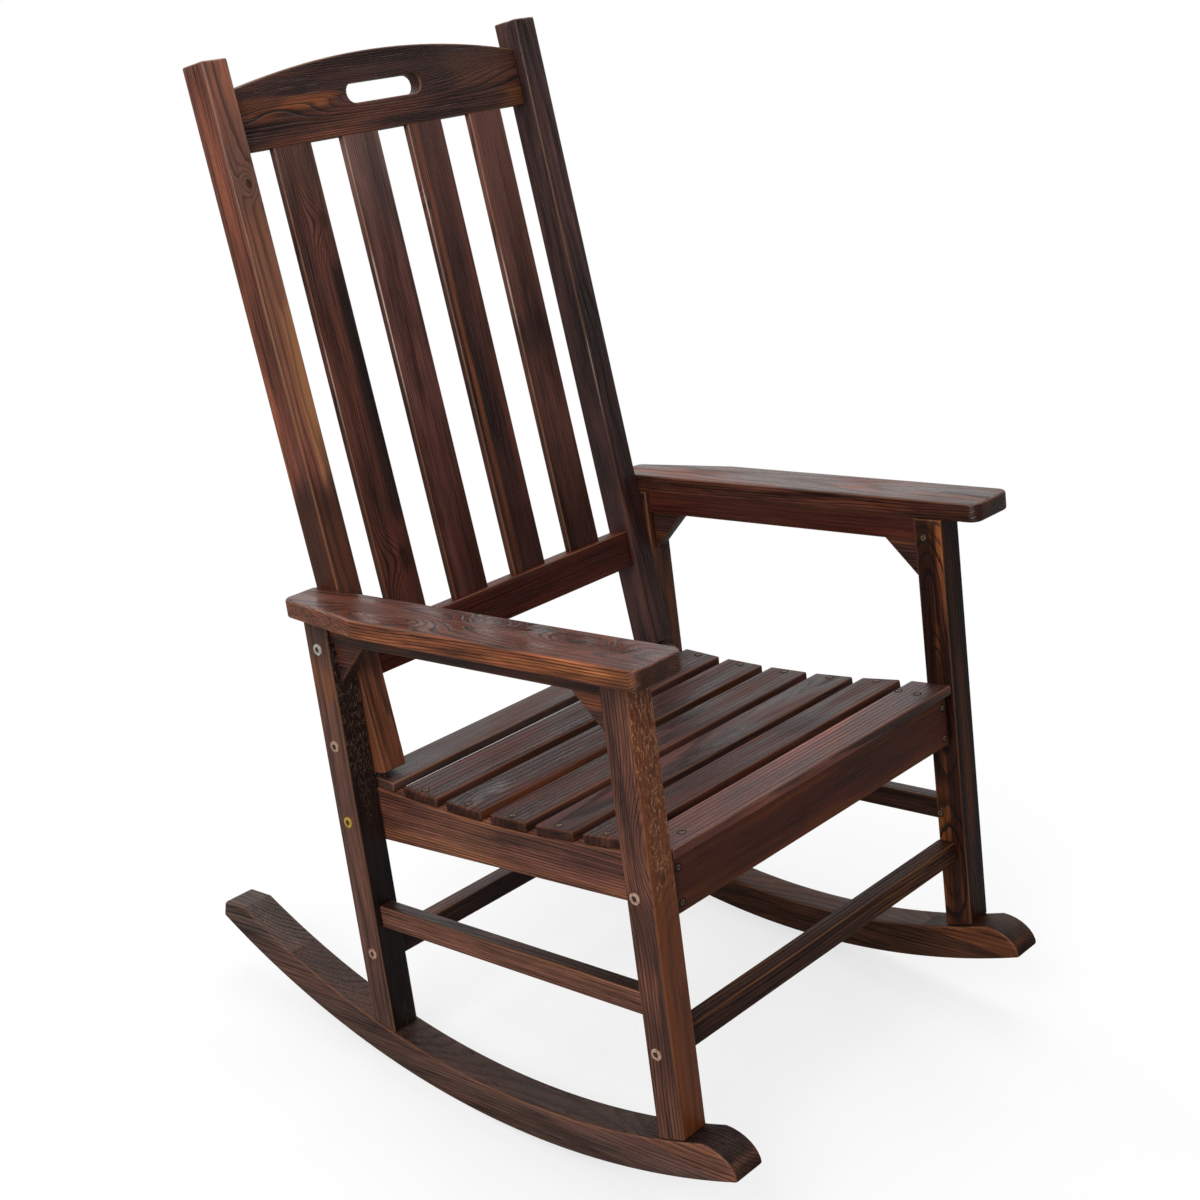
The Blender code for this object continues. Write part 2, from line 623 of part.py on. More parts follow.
def makeBackSlats(crest, lowerRail):
    """Flat upright slats with stub tenons in the crest and in the lower rail."""
    low = LOWER_RAIL_BOTTOM + LOWER_RAIL_HEIGHT + GAP
    high = CREST_BOTTOM - GAP
    tenonWidth = BACK_SLAT_WIDTH - 2 * BACK_SLAT_TENON_SHOULDER
    section = (tenonWidth, BACK_SLAT_TENON_THICKNESS, 0.0)
    tenons = [((0, 0, turn), section, BACK_SLAT_TENON_LENGTH) for turn in (-1, 1)]
    size = (tenonWidth, BACK_SLAT_TENON_THICKNESS, BACK_SLAT_TENON_LENGTH)
    middle = BACK_SLAT_SETBACK + BACK_SLAT_THICKNESS / 2
    crestSeat = high + BACK_SLAT_TENON_LENGTH / 2
    lowerSeat = low - BACK_SLAT_TENON_LENGTH / 2
    for number in range(BACK_SLATS):
        x = (number - (BACK_SLATS - 1) / 2) * BACK_SLAT_PITCH
        name = f"back_slat_{number + 1}"
        makeBar(name, (x - BACK_SLAT_WIDTH / 2, BACK_SLAT_SETBACK, low),
                (x + BACK_SLAT_WIDTH / 2, BACK_SLAT_SETBACK + BACK_SLAT_THICKNESS, high),
                backWood, backFrame, tenons=tenons)
        cutSocket(f"{name}_crest_socket", [crest], (x, middle, crestSeat), size, backFrame)
        cutSocket(f"{name}_lower_socket", [lowerRail], (x, middle, lowerSeat), size, backFrame)


def boltProfile(growth):
    """Half section of a bolt from its head to its foot, grown on every side by the given clearance."""
    head = BOLT_HEAD_RADIUS + growth
    shank = BOLT_SHANK_RADIUS + growth
    underHead = -BOLT_HEAD_THICKNESS - growth
    foot = -BOLT_HEAD_THICKNESS - LEG_WIDTH - BOLT_GRIP - growth
    return [(0.0, growth), (head - BOLT_HEAD_EDGE, growth), (head, growth - BOLT_HEAD_EDGE),
            (head, underHead), (shank, underHead), (shank, foot), (0.0, foot)]


def makeBolts(side, sideName, places):
    """Socket-headed bolts through a leg into what it carries, each given by name, place and pieces."""
    for name, y, z, pieces in places:
        seat = Vector((side * (FRAME_HALF_WIDTH + BOLT_HEAD_PROUD), y, z))
        turn = (0.0, side * math.pi / 2, 0.0)
        bolt = addObject(f"{name}_{sideName}", turnedMesh(name, boltProfile(0.0)), boltSteel)
        hole = addObject(f"{name}_{sideName}_hole", turnedMesh(name, boltProfile(GAP)))
        bm = bmesh.new()
        bmesh.ops.create_cone(bm, cap_ends=True, segments=BOLT_SOCKET_SIDES, radius1=BOLT_SOCKET_RADIUS,
                              radius2=BOLT_SOCKET_RADIUS, depth=2 * BOLT_SOCKET_DEPTH)
        key = addObject(f"{name}_{sideName}_key", meshFrom(bm, name))
        for piece in (bolt, hole, key):
            piece.location = seat
            piece.rotation_euler = turn
        cut(bolt, key)
        for piece in pieces:
            cut(piece, hole)


def makeSide(side, sideName):
    rocker, toe, heel = makeRocker(side, sideName)
    arm = makeArm(side, sideName)
    frontLeg = makeLeg(side, sideName, "front", 0.0, toe, arm)
    rearLeg = makeLeg(side, sideName, "rear", REAR_LEG_SETBACK, rocker, arm)
    legs = (frontLeg, rearLeg)
    makeSideRail(f"arm_rail_{sideName}", side, ARM_UNDERSIDE - ARM_RAIL_HEIGHT - GAP, ARM_RAIL_HEIGHT,
                 ARM_RAIL_THICKNESS, legs)
    makeSideRail(f"side_stretcher_{sideName}", side, SIDE_STRETCHER_BOTTOM, SIDE_STRETCHER_HEIGHT,
                 SIDE_STRETCHER_THICKNESS, legs)
    makeBraces(side, sideName)
    return legs


def massCentre(pieces):
    """Centre of mass of the pieces in the frame they stand in now."""
    depsgraph = bpy.context.evaluated_depsgraph_get()
    total = 0.0
    moment = Vector()
    for piece in pieces:
        density = STEEL_DENSITY if boltSteel.name in piece.data.materials else WOOD_DENSITY
        bm = bmesh.new()
        bm.from_object(piece, depsgraph)
        bmesh.ops.transform(bm, matrix=piece.matrix_world, verts=bm.verts)
        bmesh.ops.triangulate(bm, faces=bm.faces)
        for face in bm.faces:
            a, b, c = (vert.co for vert in face.verts)
            mass = density * a.dot(b.cross(c)) / 6
            total += mass
            moment += mass * (a + b + c) / 4
        bm.free()
    return moment / total


def worldBox(pieces):
    depsgraph = bpy.context.evaluated_depsgraph_get()
    points = []
    for piece in pieces:
        points += [piece.matrix_world @ vert.co for vert in piece.evaluated_get(depsgraph).data.vertices]
    return [[pick(point[axis] for point in points) for axis in range(3)] for pick in (min, max)]


rightLegs = makeSide(-1, "right")
leftLegs = makeSide(1, "left")

seatRails = [makeSeatRail(side, name) for side, name in ((-1, "right"), (1, "left"))]
makeSeatSlats()
makeApron()

frontCross = makeCrossStretcher("front", LEG_DEPTH - CROSS_STRETCHER_THICKNESS)
rearCross = makeCrossStretcher("rear", REAR_LEG_SETBACK + REAR_CROSS_SETBACK)

stiles = [makeStile(side, name) for side, name in ((-1, "right"), (1, "left"))]
crestRail = makeCrest(stiles)
lowerRail = makeLowerRail(stiles)
makeBackSlats(crestRail, lowerRail)

crossBoltHeight = CROSS_STRETCHER_BOTTOM + CROSS_STRETCHER_HEIGHT / 2
frontCrossBolt = LEG_DEPTH - CROSS_STRETCHER_THICKNESS + CROSS_BOLT_EDGE_DISTANCE
rearCrossBolt = REAR_LEG_SETBACK + REAR_CROSS_SETBACK + CROSS_STRETCHER_THICKNESS / 2
frontLegMiddle = LEG_DEPTH / 2
rearLegMiddle = REAR_LEG_SETBACK + LEG_DEPTH / 2


def seatBoltHeight(y, top):
    """Half way up the seat rail."""
    bottom = SEAT_RAIL_FRONT_BOTTOM - (y - SEAT_RAIL_FRONT) * math.tan(SEAT_RAIL_FALL)
    return (bottom + top) / 2


frontSeatBolt = SEAT_RAIL_FRONT + SEAT_BOLT_EDGE_DISTANCE
frontSeatBoltHeight = seatBoltHeight(frontSeatBolt, frontSeatHeight(frontSeatBolt))
rearSeatBoltHeight = seatBoltHeight(rearLegMiddle, dishHeight(rearLegMiddle))
upperBackBoltHeight = ARM_UNDERSIDE - BACK_BOLT_UPPER_DROP
lowerBackBoltHeight = STILE_FOOT_HEIGHT + BACK_BOLT_LOWER_RISE
for side, name, (frontLeg, rearLeg), seatRail, stile in zip(
        (-1, 1), ("right", "left"), (rightLegs, leftLegs), seatRails, stiles):
    makeBolts(side, name, (
        ("back_bolt_upper", rearLegMiddle, upperBackBoltHeight, (rearLeg, stile)),
        ("back_bolt_lower", rearLegMiddle, lowerBackBoltHeight, (rearLeg, stile)),
        ("seat_bolt_rear", rearLegMiddle, rearSeatBoltHeight, (rearLeg, seatRail)),
        ("seat_bolt_front", frontSeatBolt, frontSeatBoltHeight, (frontLeg, seatRail)),
        ("cross_bolt_front", frontCrossBolt, crossBoltHeight, (frontLeg, frontCross)),
        ("cross_bolt_rear", rearCrossBolt, crossBoltHeight, (rearLeg, rearCross)),
    ))

# The empty chair rocks until its centre of mass lies under the centre of the rocker arcs
bpy.context.view_layer.update()
pieces = [piece for piece in chairCollection.objects if piece.type == "MESH"]
heavy = massCentre(pieces)
restTilt = math.atan2(heavy.y - ROCKER_MIDDLE, ROCKER_RADIUS - heavy.z)
chairFrame.rotation_euler.x = -restTilt
bpy.context.view_layer.update()
low, high = worldBox(pieces)
chairFrame.location = (-(low[0] + high[0]) / 2, -(low[1] + high[1]) / 2, -low[2])
bpy.context.view_layer.update()

print("rest tilt in degrees", round(math.degrees(restTilt), 3))
print("size", [round(b - a, 4) for a, b in zip(low, high)])
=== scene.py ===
import bpy
import bmesh
import json
import math
import random
from mathutils import Matrix, Vector


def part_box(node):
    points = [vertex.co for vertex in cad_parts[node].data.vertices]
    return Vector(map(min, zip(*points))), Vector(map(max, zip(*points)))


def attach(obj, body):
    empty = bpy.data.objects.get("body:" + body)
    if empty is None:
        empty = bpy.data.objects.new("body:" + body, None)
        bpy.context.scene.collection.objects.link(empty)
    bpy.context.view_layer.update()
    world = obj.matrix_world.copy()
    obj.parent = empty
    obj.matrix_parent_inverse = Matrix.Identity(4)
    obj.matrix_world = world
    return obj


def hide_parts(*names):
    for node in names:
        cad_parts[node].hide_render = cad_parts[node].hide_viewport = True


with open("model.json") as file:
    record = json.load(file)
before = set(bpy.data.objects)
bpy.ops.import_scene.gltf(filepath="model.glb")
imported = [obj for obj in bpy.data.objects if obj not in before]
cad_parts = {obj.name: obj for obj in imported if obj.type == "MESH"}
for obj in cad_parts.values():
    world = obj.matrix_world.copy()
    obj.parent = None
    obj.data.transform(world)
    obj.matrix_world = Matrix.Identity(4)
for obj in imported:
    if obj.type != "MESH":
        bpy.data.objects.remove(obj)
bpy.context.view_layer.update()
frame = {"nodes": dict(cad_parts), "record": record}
print("frame loaded with", len(frame["nodes"]), "nodes")

screenCurve = {"knee": 0.04045, "slope": 12.92, "offset": 0.055, "power": 2.4}


def shade(hexCode):  # a screen colour as linear light
    light = []
    for i in (1, 3, 5):
        part = int(hexCode[i:i + 2], 16) / 255
        curved = ((part + screenCurve["offset"]) / (1 + screenCurve["offset"])) ** screenCurve["power"]
        light.append(part / screenCurve["slope"] if part <= screenCurve["knee"] else curved)
    return (*light, 1.0)


class Wire:  # a node socket that takes part in Python sums
    def __init__(self, tree, socket=None):
        self.tree = tree
        self.socket = socket

    def node(self, kind, settings=None, sockets=None, out=0):
        made = self.tree.nodes.new(kind)
        for key, value in (settings or {}).items():
            setattr(made, key, value)
        for key, value in (sockets or {}).items():
            if isinstance(value, Wire):
                self.tree.links.new(value.socket, made.inputs[key])
            else:
                made.inputs[key].default_value = value
        return Wire(self.tree, made.outputs[out])

    def maths(self, operation, *values):
        return self.node("ShaderNodeMath", {"operation": operation}, dict(enumerate(values)))

    def __add__(self, other):
        return self.maths("ADD", self, other)

    def __radd__(self, other):
        return self.maths("ADD", other, self)

    def __sub__(self, other):
        return self.maths("SUBTRACT", self, other)

    def __rsub__(self, other):
        return self.maths("SUBTRACT", other, self)

    def __mul__(self, other):
        return self.maths("MULTIPLY", self, other)

    def __rmul__(self, other):
        return self.maths("MULTIPLY", other, self)

    def __truediv__(self, other):
        return self.maths("DIVIDE", self, other)

    def __pow__(self, other):
        return self.maths("POWER", self, other)

    def most(self, other):  # the larger of two values
        return self.maths("MAXIMUM", self, other)

    def part(self, axis):  # one of the three numbers of a vector
        return self.node("ShaderNodeSeparateXYZ", None, {0: self}, axis)

    def step(self, low, high):  # soft step from 0 at low to 1 at high
        sockets = {0: self, 1: low, 2: high}
        return self.node("ShaderNodeMapRange", {"interpolation_type": "SMOOTHSTEP"}, sockets)

    def between(self, low, high, soft):
        return self.step(low - soft, low + soft) * (1 - self.step(high - soft, high + soft))

    def noise(self, scale, shift, detail=2.0, rough=0.5):  # a noise about 0
        sockets = {0: self, 1: scale, 2: shift}
        spot = self.node("ShaderNodeVectorMath", {"operation": "MULTIPLY_ADD"}, sockets)
        sockets = {"Vector": spot, "Scale": 1.0, "Detail": detail, "Roughness": rough}
        return self.node("ShaderNodeTexNoise", None, sockets) - 0.5

    def dot(self, way):  # how far a vector points along a way
        return self.node("ShaderNodeVectorMath", {"operation": "DOT_PRODUCT"}, {0: self, 1: way}, 1)

    def tint(self, low, high):  # from one colour at 0 to another at 1
        return self.node("ShaderNodeMix", {"data_type": "RGBA"}, {0: self, 6: shade(low), 7: shade(high)}, 2)

    def over(self, colour, mask):  # lay a colour over this one where the mask is 1
        top = colour if isinstance(colour, Wire) else shade(colour)
        return self.node("ShaderNodeMix", {"data_type": "RGBA"}, {0: mask, 6: self, 7: top}, 2)

    def lit(self, factor):  # a colour made lighter or darker
        return self.node("ShaderNodeVectorMath", {"operation": "SCALE"}, {0: self, "Scale": factor})


def newFinish(name):
    finish = bpy.data.materials.new(name)
    finish.use_nodes = True
    return finish, Wire(finish.node_tree), finish.node_tree.nodes["Principled BSDF"]


def plug(shader, sockets):  # set or link the sockets of a shader
    for key, value in sockets.items():
        if isinstance(value, Wire):
            value.tree.links.new(value.socket, shader.inputs[key])
        else:
            shader.inputs[key].default_value = value


# Charred and stained softwood. Each board is cut from its own log: its rings run round a heart line.
# Places on a board are metres along, across and through it from its middle.
stain = {"worn": "#a06a45", "char": "#0c0807", "grooveDepth": 0.0008, "grooveStrength": 0.7,
         "wornBand": 0.0026, "wornRough": 0.08, "bandSoft": 0.0035, "zoneSoft": 0.016, "laneSway": 0.6,
         "darkest": 0.15, "thin": (-0.02, 0.22), "flame": (0.0, 0.2), "crack": (0.14, 0.22),
         "turned": (0.6, 0.85), "bandCover": 0.8, "zoneCover": 0.85, "fadeCover": 0.95, "paintedFaceCover": 0.9,
         "shifts": 10, "drift": 40}
rings = {"rise": (0.50, 0.86), "fall": (0.93, 1.0), "luck": 0.6, "least": 0.6}  # late wood in a ring
knotForm = {"dark": "#120907", "red": "#5a2a18", "redStep": (0.2, 0.9), "reach": 2.4, "bulge": 2.2,
            "core": 0.4, "rim": 1.2}
# a painted highlight: a thin light line along one edge of a board
paintedHighlight = {"colour": "#cdbcb0", "band": (0.0012, 0.0017), "side": (0.0, 0.006), "broken": (-0.06, 0.12),
             "upper": (-0.15, 0.10), "strength": 0.75}
scuff = {"pit": "#2c170e", "skin": (0.0012, 0.0004), "line": (0.004, 0.024), "patch": (-0.02, 0.14),
         "climb": 1.4, "climbLeast": -0.16, "cover": 0.72, "pitPatch": 0.2, "pitStep": (0.10, 0.24),
         "pitStrength": 0.6, "fleckStrength": 0.85, "ridge": 1.5}
weave = {  # which random shift, the scale, detail and roughness of each noise
    "sway": (0, (2.6, 9, 9), 2.0, 0.5), "bow": (1, (3.4, 7, 7), 2.0, 0.5),
    "streak": (2, (4.0, 130, 130), 3.0, 0.6), "fibre": (3, (11, 620, 620), 4.0, 0.68),
    "pores": (4, (45, 2400, 2400), 2.0, 0.5), "blotch": (5, (5.5, 34, 34), 3.0, 0.5),
    "soak": (6, (2.4, 48, 48), 2.0, 0.5), "heat": (7, (2.2, 22, 22), 2.0, 0.5),
    "cracks": (8, (7, 430, 430), 1.0, 0.5), "scrawl": (8, (70, 230, 230), 2.0, 0.6),
    "patch": (9, (9, 45, 45), 2.0, 0.5)}
blends = {  # the share of each pattern in a place, a shade or a height
    "ragged": {"streak": 0.9, "fibre": 0.5}, "thin": {"blotch": 0.5, "soak": 1.0},
    "flame": {"heat": 1.0, "streak": 0.5}, "light": {"fibre": 3.6, "pores": 1.6},
    "lane": {"streak": 0.006}, "side": {"streak": 0.006, "blotch": 0.008},
    "reach": {"streak": 0.05, "blotch": 0.08}, "fade": {"streak": 0.05},
    "face": {"fibre": 1.0, "blotch": 1.0},
    "height": {"fibre": 0.8, "pores": 0.25, "late": -0.6, "checks": -0.6},
    "knot": {"fibre": 2.0, "late": 1.0}, "scuff": {"blotch": 1.0, "fibre": 1.4, "streak": 1.0},
    "worn": {"fibre": 0.9, "streak": 1.2}, "highlightEdge": {"fibre": 0.002},
    "broken": {"streak": 1.0, "blotch": 0.5}, "rough": {"late": 0.10, "fibre": 0.30}}
plainBoard = {"ground": "#5a3024", "warm": "#9a5428", "dark": "#160d0b",  # early wood, thin stain, late wood
              "ring": 0.0042, "heart": (0.06, 0.04), "lean": (0.01, 0.0), "wander": 0.008,
              "lines": 0.55, "fibre": 1.0, "streak": 1.5, "blotch": 1.8, "flare": 0.4, "burn": 0.35,
              "wear": 0.5, "gloss": 0.33, "patchy": 0.5, "lacquer": 1.45, "checks": 0.6, "waves": 1.5,
              "ragged": 0.7,
              "knots": (),  # along, across, size, depth of colour, slimness, and "through" on a narrow face
              "bands": (),  # low and high across, colour and strength of each
              "zones": (),  # low and high along, colour, strength, and perhaps an axis, its low and high
              "fades": (),  # where along the board a tint begins and is full, its colour and strength
              "faces": (),  # way that a face looks, and the colour and strength laid on such faces: painted shade where darker, painted light where lighter
              "glint": 0,  # side across whose edge gets a thin painted highlight line
              "scuffed": None}  # axis, side and place of a rough sawn face, with its colour and its flecks


def stainedWood(name, look):
    look = {**plainBoard, **look}
    finish, start, shader = newFinish("wood_" + name)
    luck = random.Random(name)
    drift = stain["drift"]
    shift = [tuple(luck.uniform(-drift, drift) for axis in range(3)) for use in range(stain["shifts"])]
    grain = start.node("ShaderNodeAttribute", {"attribute_name": "grain"}, None, 1)
    edge = start.node("ShaderNodeAttribute", {"attribute_name": "edge"}, None, 2)
    along, across, through = grain.part(0), grain.part(1), grain.part(2)
    patterns = {}

    def pattern(kind):  # a noise of the weave, made once for each board
        if kind not in patterns:
            place, scale, detail, rough = weave[kind]
            patterns[kind] = grain.noise(scale, shift[place], detail, rough)
        return patterns[kind]

    def blend(kind):  # some patterns added up by their shares
        shares = [pattern(part) * share for part, share in blends[kind].items()]
        return sum(shares[1:], shares[0])

    fibre, streak, blotch = pattern("fibre"), pattern("streak"), pattern("blotch")
    sway = pattern("sway") * (2 * look["wander"])
    bow = pattern("bow") * (2 * look["wander"])
    sideways = across + along * look["lean"][0] + sway - look["heart"][0]
    deep = through + along * look["lean"][1] + bow - look["heart"][1]
    radius = (sideways * sideways + deep * deep) ** 0.5
    knotCore = None
    for knotAlong, knotAcross, size, depth, slim, *narrow in look["knots"]:  # the rings run round each knot
        lengthwise = (along - knotAlong) * slim
        crosswise = (through if narrow else across) - knotAcross
        away = (lengthwise * lengthwise + crosswise * crosswise) ** 0.5
        reach = away / (knotForm["reach"] * size)
        fade = 0 - reach * reach
        radius = radius + fade.maths("EXPONENT", fade) * (knotForm["bulge"] * size)
        core = (1 - (away + streak * size).step(knotForm["core"] * size, knotForm["rim"] * size)) * depth
        knotCore = core if knotCore is None else core.most(knotCore)
    count = radius / look["ring"] + blend("ragged") * look["ragged"]
    turn = count.maths("FRACT", count)
    whole = count.maths("FLOOR", count)
    ringLuck = whole.node("ShaderNodeTexWhiteNoise", {"noise_dimensions": "1D"}, {"W": whole})
    late = turn.step(*rings["rise"]) * (1 - turn.step(*rings["fall"]))
    late = late * (ringLuck * rings["luck"] + rings["least"])
    checks = pattern("cracks").step(*stain["crack"])  # short black cracks along the grain
    patterns.update(late=late, checks=checks)
    flare = blend("thin").step(*stain["thin"])  # where the stain is thin
    burn = blend("flame").step(*stain["flame"])  # where the flame lingered
    light = blend("light") * look["fibre"] + streak * look["streak"] + blotch * look["blotch"] + 1
    colour = (flare * look["flare"]).tint(look["ground"], look["warm"]).lit(light.most(stain["darkest"]))
    lane = across + sway * stain["laneSway"] + blend("lane")
    for low, high, tint, strength in look["bands"]:
        band = lane.between(low, high, stain["bandSoft"])
        colour = colour.over(tint, band * (strength * (stain["bandCover"] + fibre)))
    place = along + blend("reach")
    for low, high, tint, strength, *limit in look["zones"]:
        zone = place.between(low, high, stain["zoneSoft"]) * (strength * (stain["zoneCover"] + fibre))
        if limit:
            side = grain.part(limit[0]) + blend("side")
            zone = zone * side.between(limit[1], limit[2], stain["bandSoft"])
        colour = colour.over(tint, zone)
    for begin, full, tint, strength in look["fades"]:
        faded = (along + blend("fade")).step(begin, full)
        colour = colour.over(tint, faded * (strength * (stain["fadeCover"] + fibre)))
    # painted shade and light: faces that look a given way, such as up and forward, are tinted darker for
    # painted shade and lighter for painted light
    for way, tint, strength in look["faces"]:
        toward = start.node("ShaderNodeNewGeometry", None, None, "Normal").dot(way)
        cover = strength * (stain["paintedFaceCover"] + blend("face"))
        colour = colour.over(tint, toward.step(*stain["turned"]) * cover)
    colour = colour.over(look["dark"], late * look["lines"])
    colour = colour.over(stain["char"], (burn * look["burn"]).most(checks * look["checks"]))
    height = blend("height") + blotch * look["waves"]
    if knotCore is not None:
        knotColour = blend("knot").step(*knotForm["redStep"]).tint(knotForm["dark"], knotForm["red"])
        colour = colour.over(knotColour, knotCore)
    if look["scuffed"]:
        axis, side, depth, rough, fleck = look["scuffed"]
        sawn = (grain.part(axis) * side).step(*(depth - skin for skin in scuff["skin"]))
        scrawl = pattern("scrawl")
        patch = pattern("patch") + (along * scuff["climb"]).most(scuff["climbLeast"])
        crackle = 1 - scrawl.maths("ABSOLUTE", scrawl).step(*scuff["line"])
        crackle = crackle * patch.step(*scuff["patch"]) * sawn
        pits = (scrawl + patch * scuff["pitPatch"]).step(*scuff["pitStep"])
        colour = colour.over(rough, sawn * (scuff["cover"] + blend("scuff")).most(0.0))
        colour = colour.over(scuff["pit"], pits * sawn * scuff["pitStrength"])
        colour = colour.over(fleck, crackle * scuff["fleckStrength"])
        height = height + crackle * scuff["ridge"]
    near = edge + blend("worn") * stain["wornBand"]
    worn = (1 - near.step(0.0, stain["wornBand"])) * look["wear"]
    colour = colour.over(stain["worn"], worn)
    # painted highlight: a thin light line on the edge of one side, broken up and kept to the upper part
    if look["glint"]:
        highlightMask = 1 - (edge + blend("highlightEdge")).step(*paintedHighlight["band"])
        highlightMask = highlightMask * (across * look["glint"]).step(*paintedHighlight["side"])
        highlightMask = highlightMask * blend("broken").step(*paintedHighlight["broken"]) * along.step(*paintedHighlight["upper"])
        colour = colour.over(paintedHighlight["colour"], highlightMask * paintedHighlight["strength"])
    roughness = look["gloss"] + blend("rough") + worn * stain["wornRough"] + blotch * look["patchy"]
    bump = height.node("ShaderNodeBump", None, {"Strength": stain["grooveStrength"],
                                                "Distance": stain["grooveDepth"], "Height": height})
    plug(shader, {"Base Color": colour, "Roughness": roughness, "Normal": bump, "IOR": look["lacquer"]})
    return finish


meshing = {"weld": 0.00002, "seam": 0.00001, "gridCut": 0.0001, "flat": math.radians(0.4),
           "smooth": math.radians(42), "faceOn": 0.95, "digits": 4}


def cadCopy(node):  # the node's mesh as merged flat faces
    bm = bmesh.new()
    bm.from_mesh(frame["nodes"][node].data)
    bmesh.ops.remove_doubles(bm, verts=bm.verts, dist=meshing["weld"])
    bmesh.ops.dissolve_limit(bm, angle_limit=meshing["flat"], verts=bm.verts, edges=bm.edges)
    bm.normal_update()
    return bm


def cadSpots(node, turn):  # the corners of the node's mesh in axes that are turned with it
    bm = cadCopy(node)
    back = turn.inverted()
    spots = [back @ vert.co for vert in bm.verts]
    bm.free()
    return spots


def span(spots):  # the lowest and the highest corner of the box round some points
    return (Vector([min(spot[axis] for spot in spots) for axis in range(3)]),
            Vector([max(spot[axis] for spot in spots) for axis in range(3)]))


def flatOf(node):  # angle about X of the broad face of a slat
    bm = cadCopy(node)
    normal = max(bm.faces, key=lambda face: face.calc_area()).normal.copy()
    bm.free()
    return math.atan2(normal.z, normal.y) if normal.z + normal.y > 0 else math.atan2(-normal.z, -normal.y)


def readBoard(node, turn):  # the board's own box without its tenons, and the slope of its foot
    bm = cadCopy(node)
    back = turn.inverted()
    low, high = Vector(), Vector()
    footNormal = None
    for axis in range(3):
        for side, corner in ((-1, low), (1, high)):
            flats = {}
            for face in bm.faces:
                if (back @ face.normal)[axis] * side > meshing["faceOn"]:
                    level = round((back @ face.calc_center_median())[axis], meshing["digits"])
                    flats.setdefault(level, []).append(face)
            broadest = max(flats, key=lambda level: sum(face.calc_area() for face in flats[level]))
            corner[axis] = broadest
            if axis == 2 and side == -1:
                footNormal = back @ flats[broadest][0].normal
    bm.free()
    return low, high, footNormal


def sharpLines(edges):
    return [(edge.verts[0].co.copy(), edge.verts[1].co.copy()) for edge in edges]


def awayFrom(spot, lines):  # distance from a point to the nearest of some straight lines
    nearest = math.inf
    for start, end in lines:
        along = end - start
        share = min(1.0, max(0.0, (spot - start).dot(along) / along.length_squared))
        nearest = min(nearest, (spot - start - along * share).length)
    return nearest


def lattice(bm, steps):  # cut the flat faces across so that they carry the distance to the edges
    for axis, step in enumerate(steps):
        low, high = (corner[axis] for corner in span([vert.co for vert in bm.verts]))
        normal = Vector([float(axis == i) for i in range(3)])
        for i in range(1, int((high - low) / step) + 1):
            bmesh.ops.bisect_plane(bm, geom=bm.verts[:] + bm.edges[:] + bm.faces[:], dist=meshing["gridCut"],
                                   plane_co=normal * (low + i * step), plane_no=normal)


def sliceOff(bm, spot, normal):  # saw away what lies on the normal's side of a plane, and close the cut
    done = bmesh.ops.bisect_plane(bm, geom=bm.verts[:] + bm.edges[:] + bm.faces[:], dist=meshing["seam"],
                                  plane_co=spot, plane_no=normal, clear_outer=True)
    rim = [item for item in done["geom_cut"] if isinstance(item, bmesh.types.BMEdge)]
    bmesh.ops.edgenet_fill(bm, edges=rim)


def roundEdges(bm, edges, width, segments):
    bmesh.ops.bevel(bm, geom=edges, offset=width, segments=segments, profile=0.5, affect="EDGES",
                    clamp_overlap=True, material=-1)


def thicken(bm, way):  # give the flat faces of a mesh a thickness
    grown = bmesh.ops.extrude_face_region(bm, geom=bm.faces[:])["geom"]
    bmesh.ops.translate(bm, vec=way, verts=[item for item in grown if isinstance(item, bmesh.types.BMVert)])
    bmesh.ops.recalc_face_normals(bm, faces=bm.faces)
    bm.normal_update()


def hang(bm, name, finish, nodes):  # make the piece and hang it on the frame
    bmesh.ops.recalc_face_normals(bm, faces=bm.faces)
    mesh = bpy.data.meshes.new(name)
    bm.to_mesh(mesh)
    bm.free()
    mesh.shade_smooth()
    mesh.set_sharp_from_angle(angle=meshing["smooth"])
    mesh.materials.append(finish)
    piece = bpy.data.objects.new(name, mesh)
    bpy.context.scene.collection.objects.link(piece)
    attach(piece, "root")
    if nodes:
        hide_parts(*nodes)


def dress(bm, node, turn, centre, order, lines):
    # note the grain and the way to the edges on the mesh, then hang the board
    edgeLayer = bm.verts.layers.float.new("edge")
    grainLayer = bm.verts.layers.float_vector.new("grain")
    for vert in bm.verts:
        vert[edgeLayer] = awayFrom(vert.co, lines)
        local = vert.co - centre
        vert[grainLayer] = Vector([local[axis] for axis in order])
    bmesh.ops.transform(bm, matrix=turn.to_4x4(), verts=bm.verts)
    hang(bm, node + "_board", stainedWood(node, boardLooks[node]), [node])


chairUp = frame["record"]["mounts"][0]["axis"]
chairTurn = Matrix.Rotation(-math.atan2(chairUp[1], chairUp[2]), 3, "X")
backTurn = Matrix.Rotation(flatOf("back_slat_1"), 3, "X")


def slatTurn(node):
    return Matrix.Rotation(flatOf(node) - math.pi / 2, 3, "X")


def grainOrder(size, lengthwise):  # along, then across the broad way, then through
    others = [axis for axis in range(3) if axis != lengthwise]
    return (lengthwise, *sorted(others, key=lambda axis: -size[axis]))


straight = {"edge": 0.0022, "segments": 3, "sides": 6, "band": 0.006, "narrow": 0.014, "footRoom": 0.02,
            "level": 0.9999}


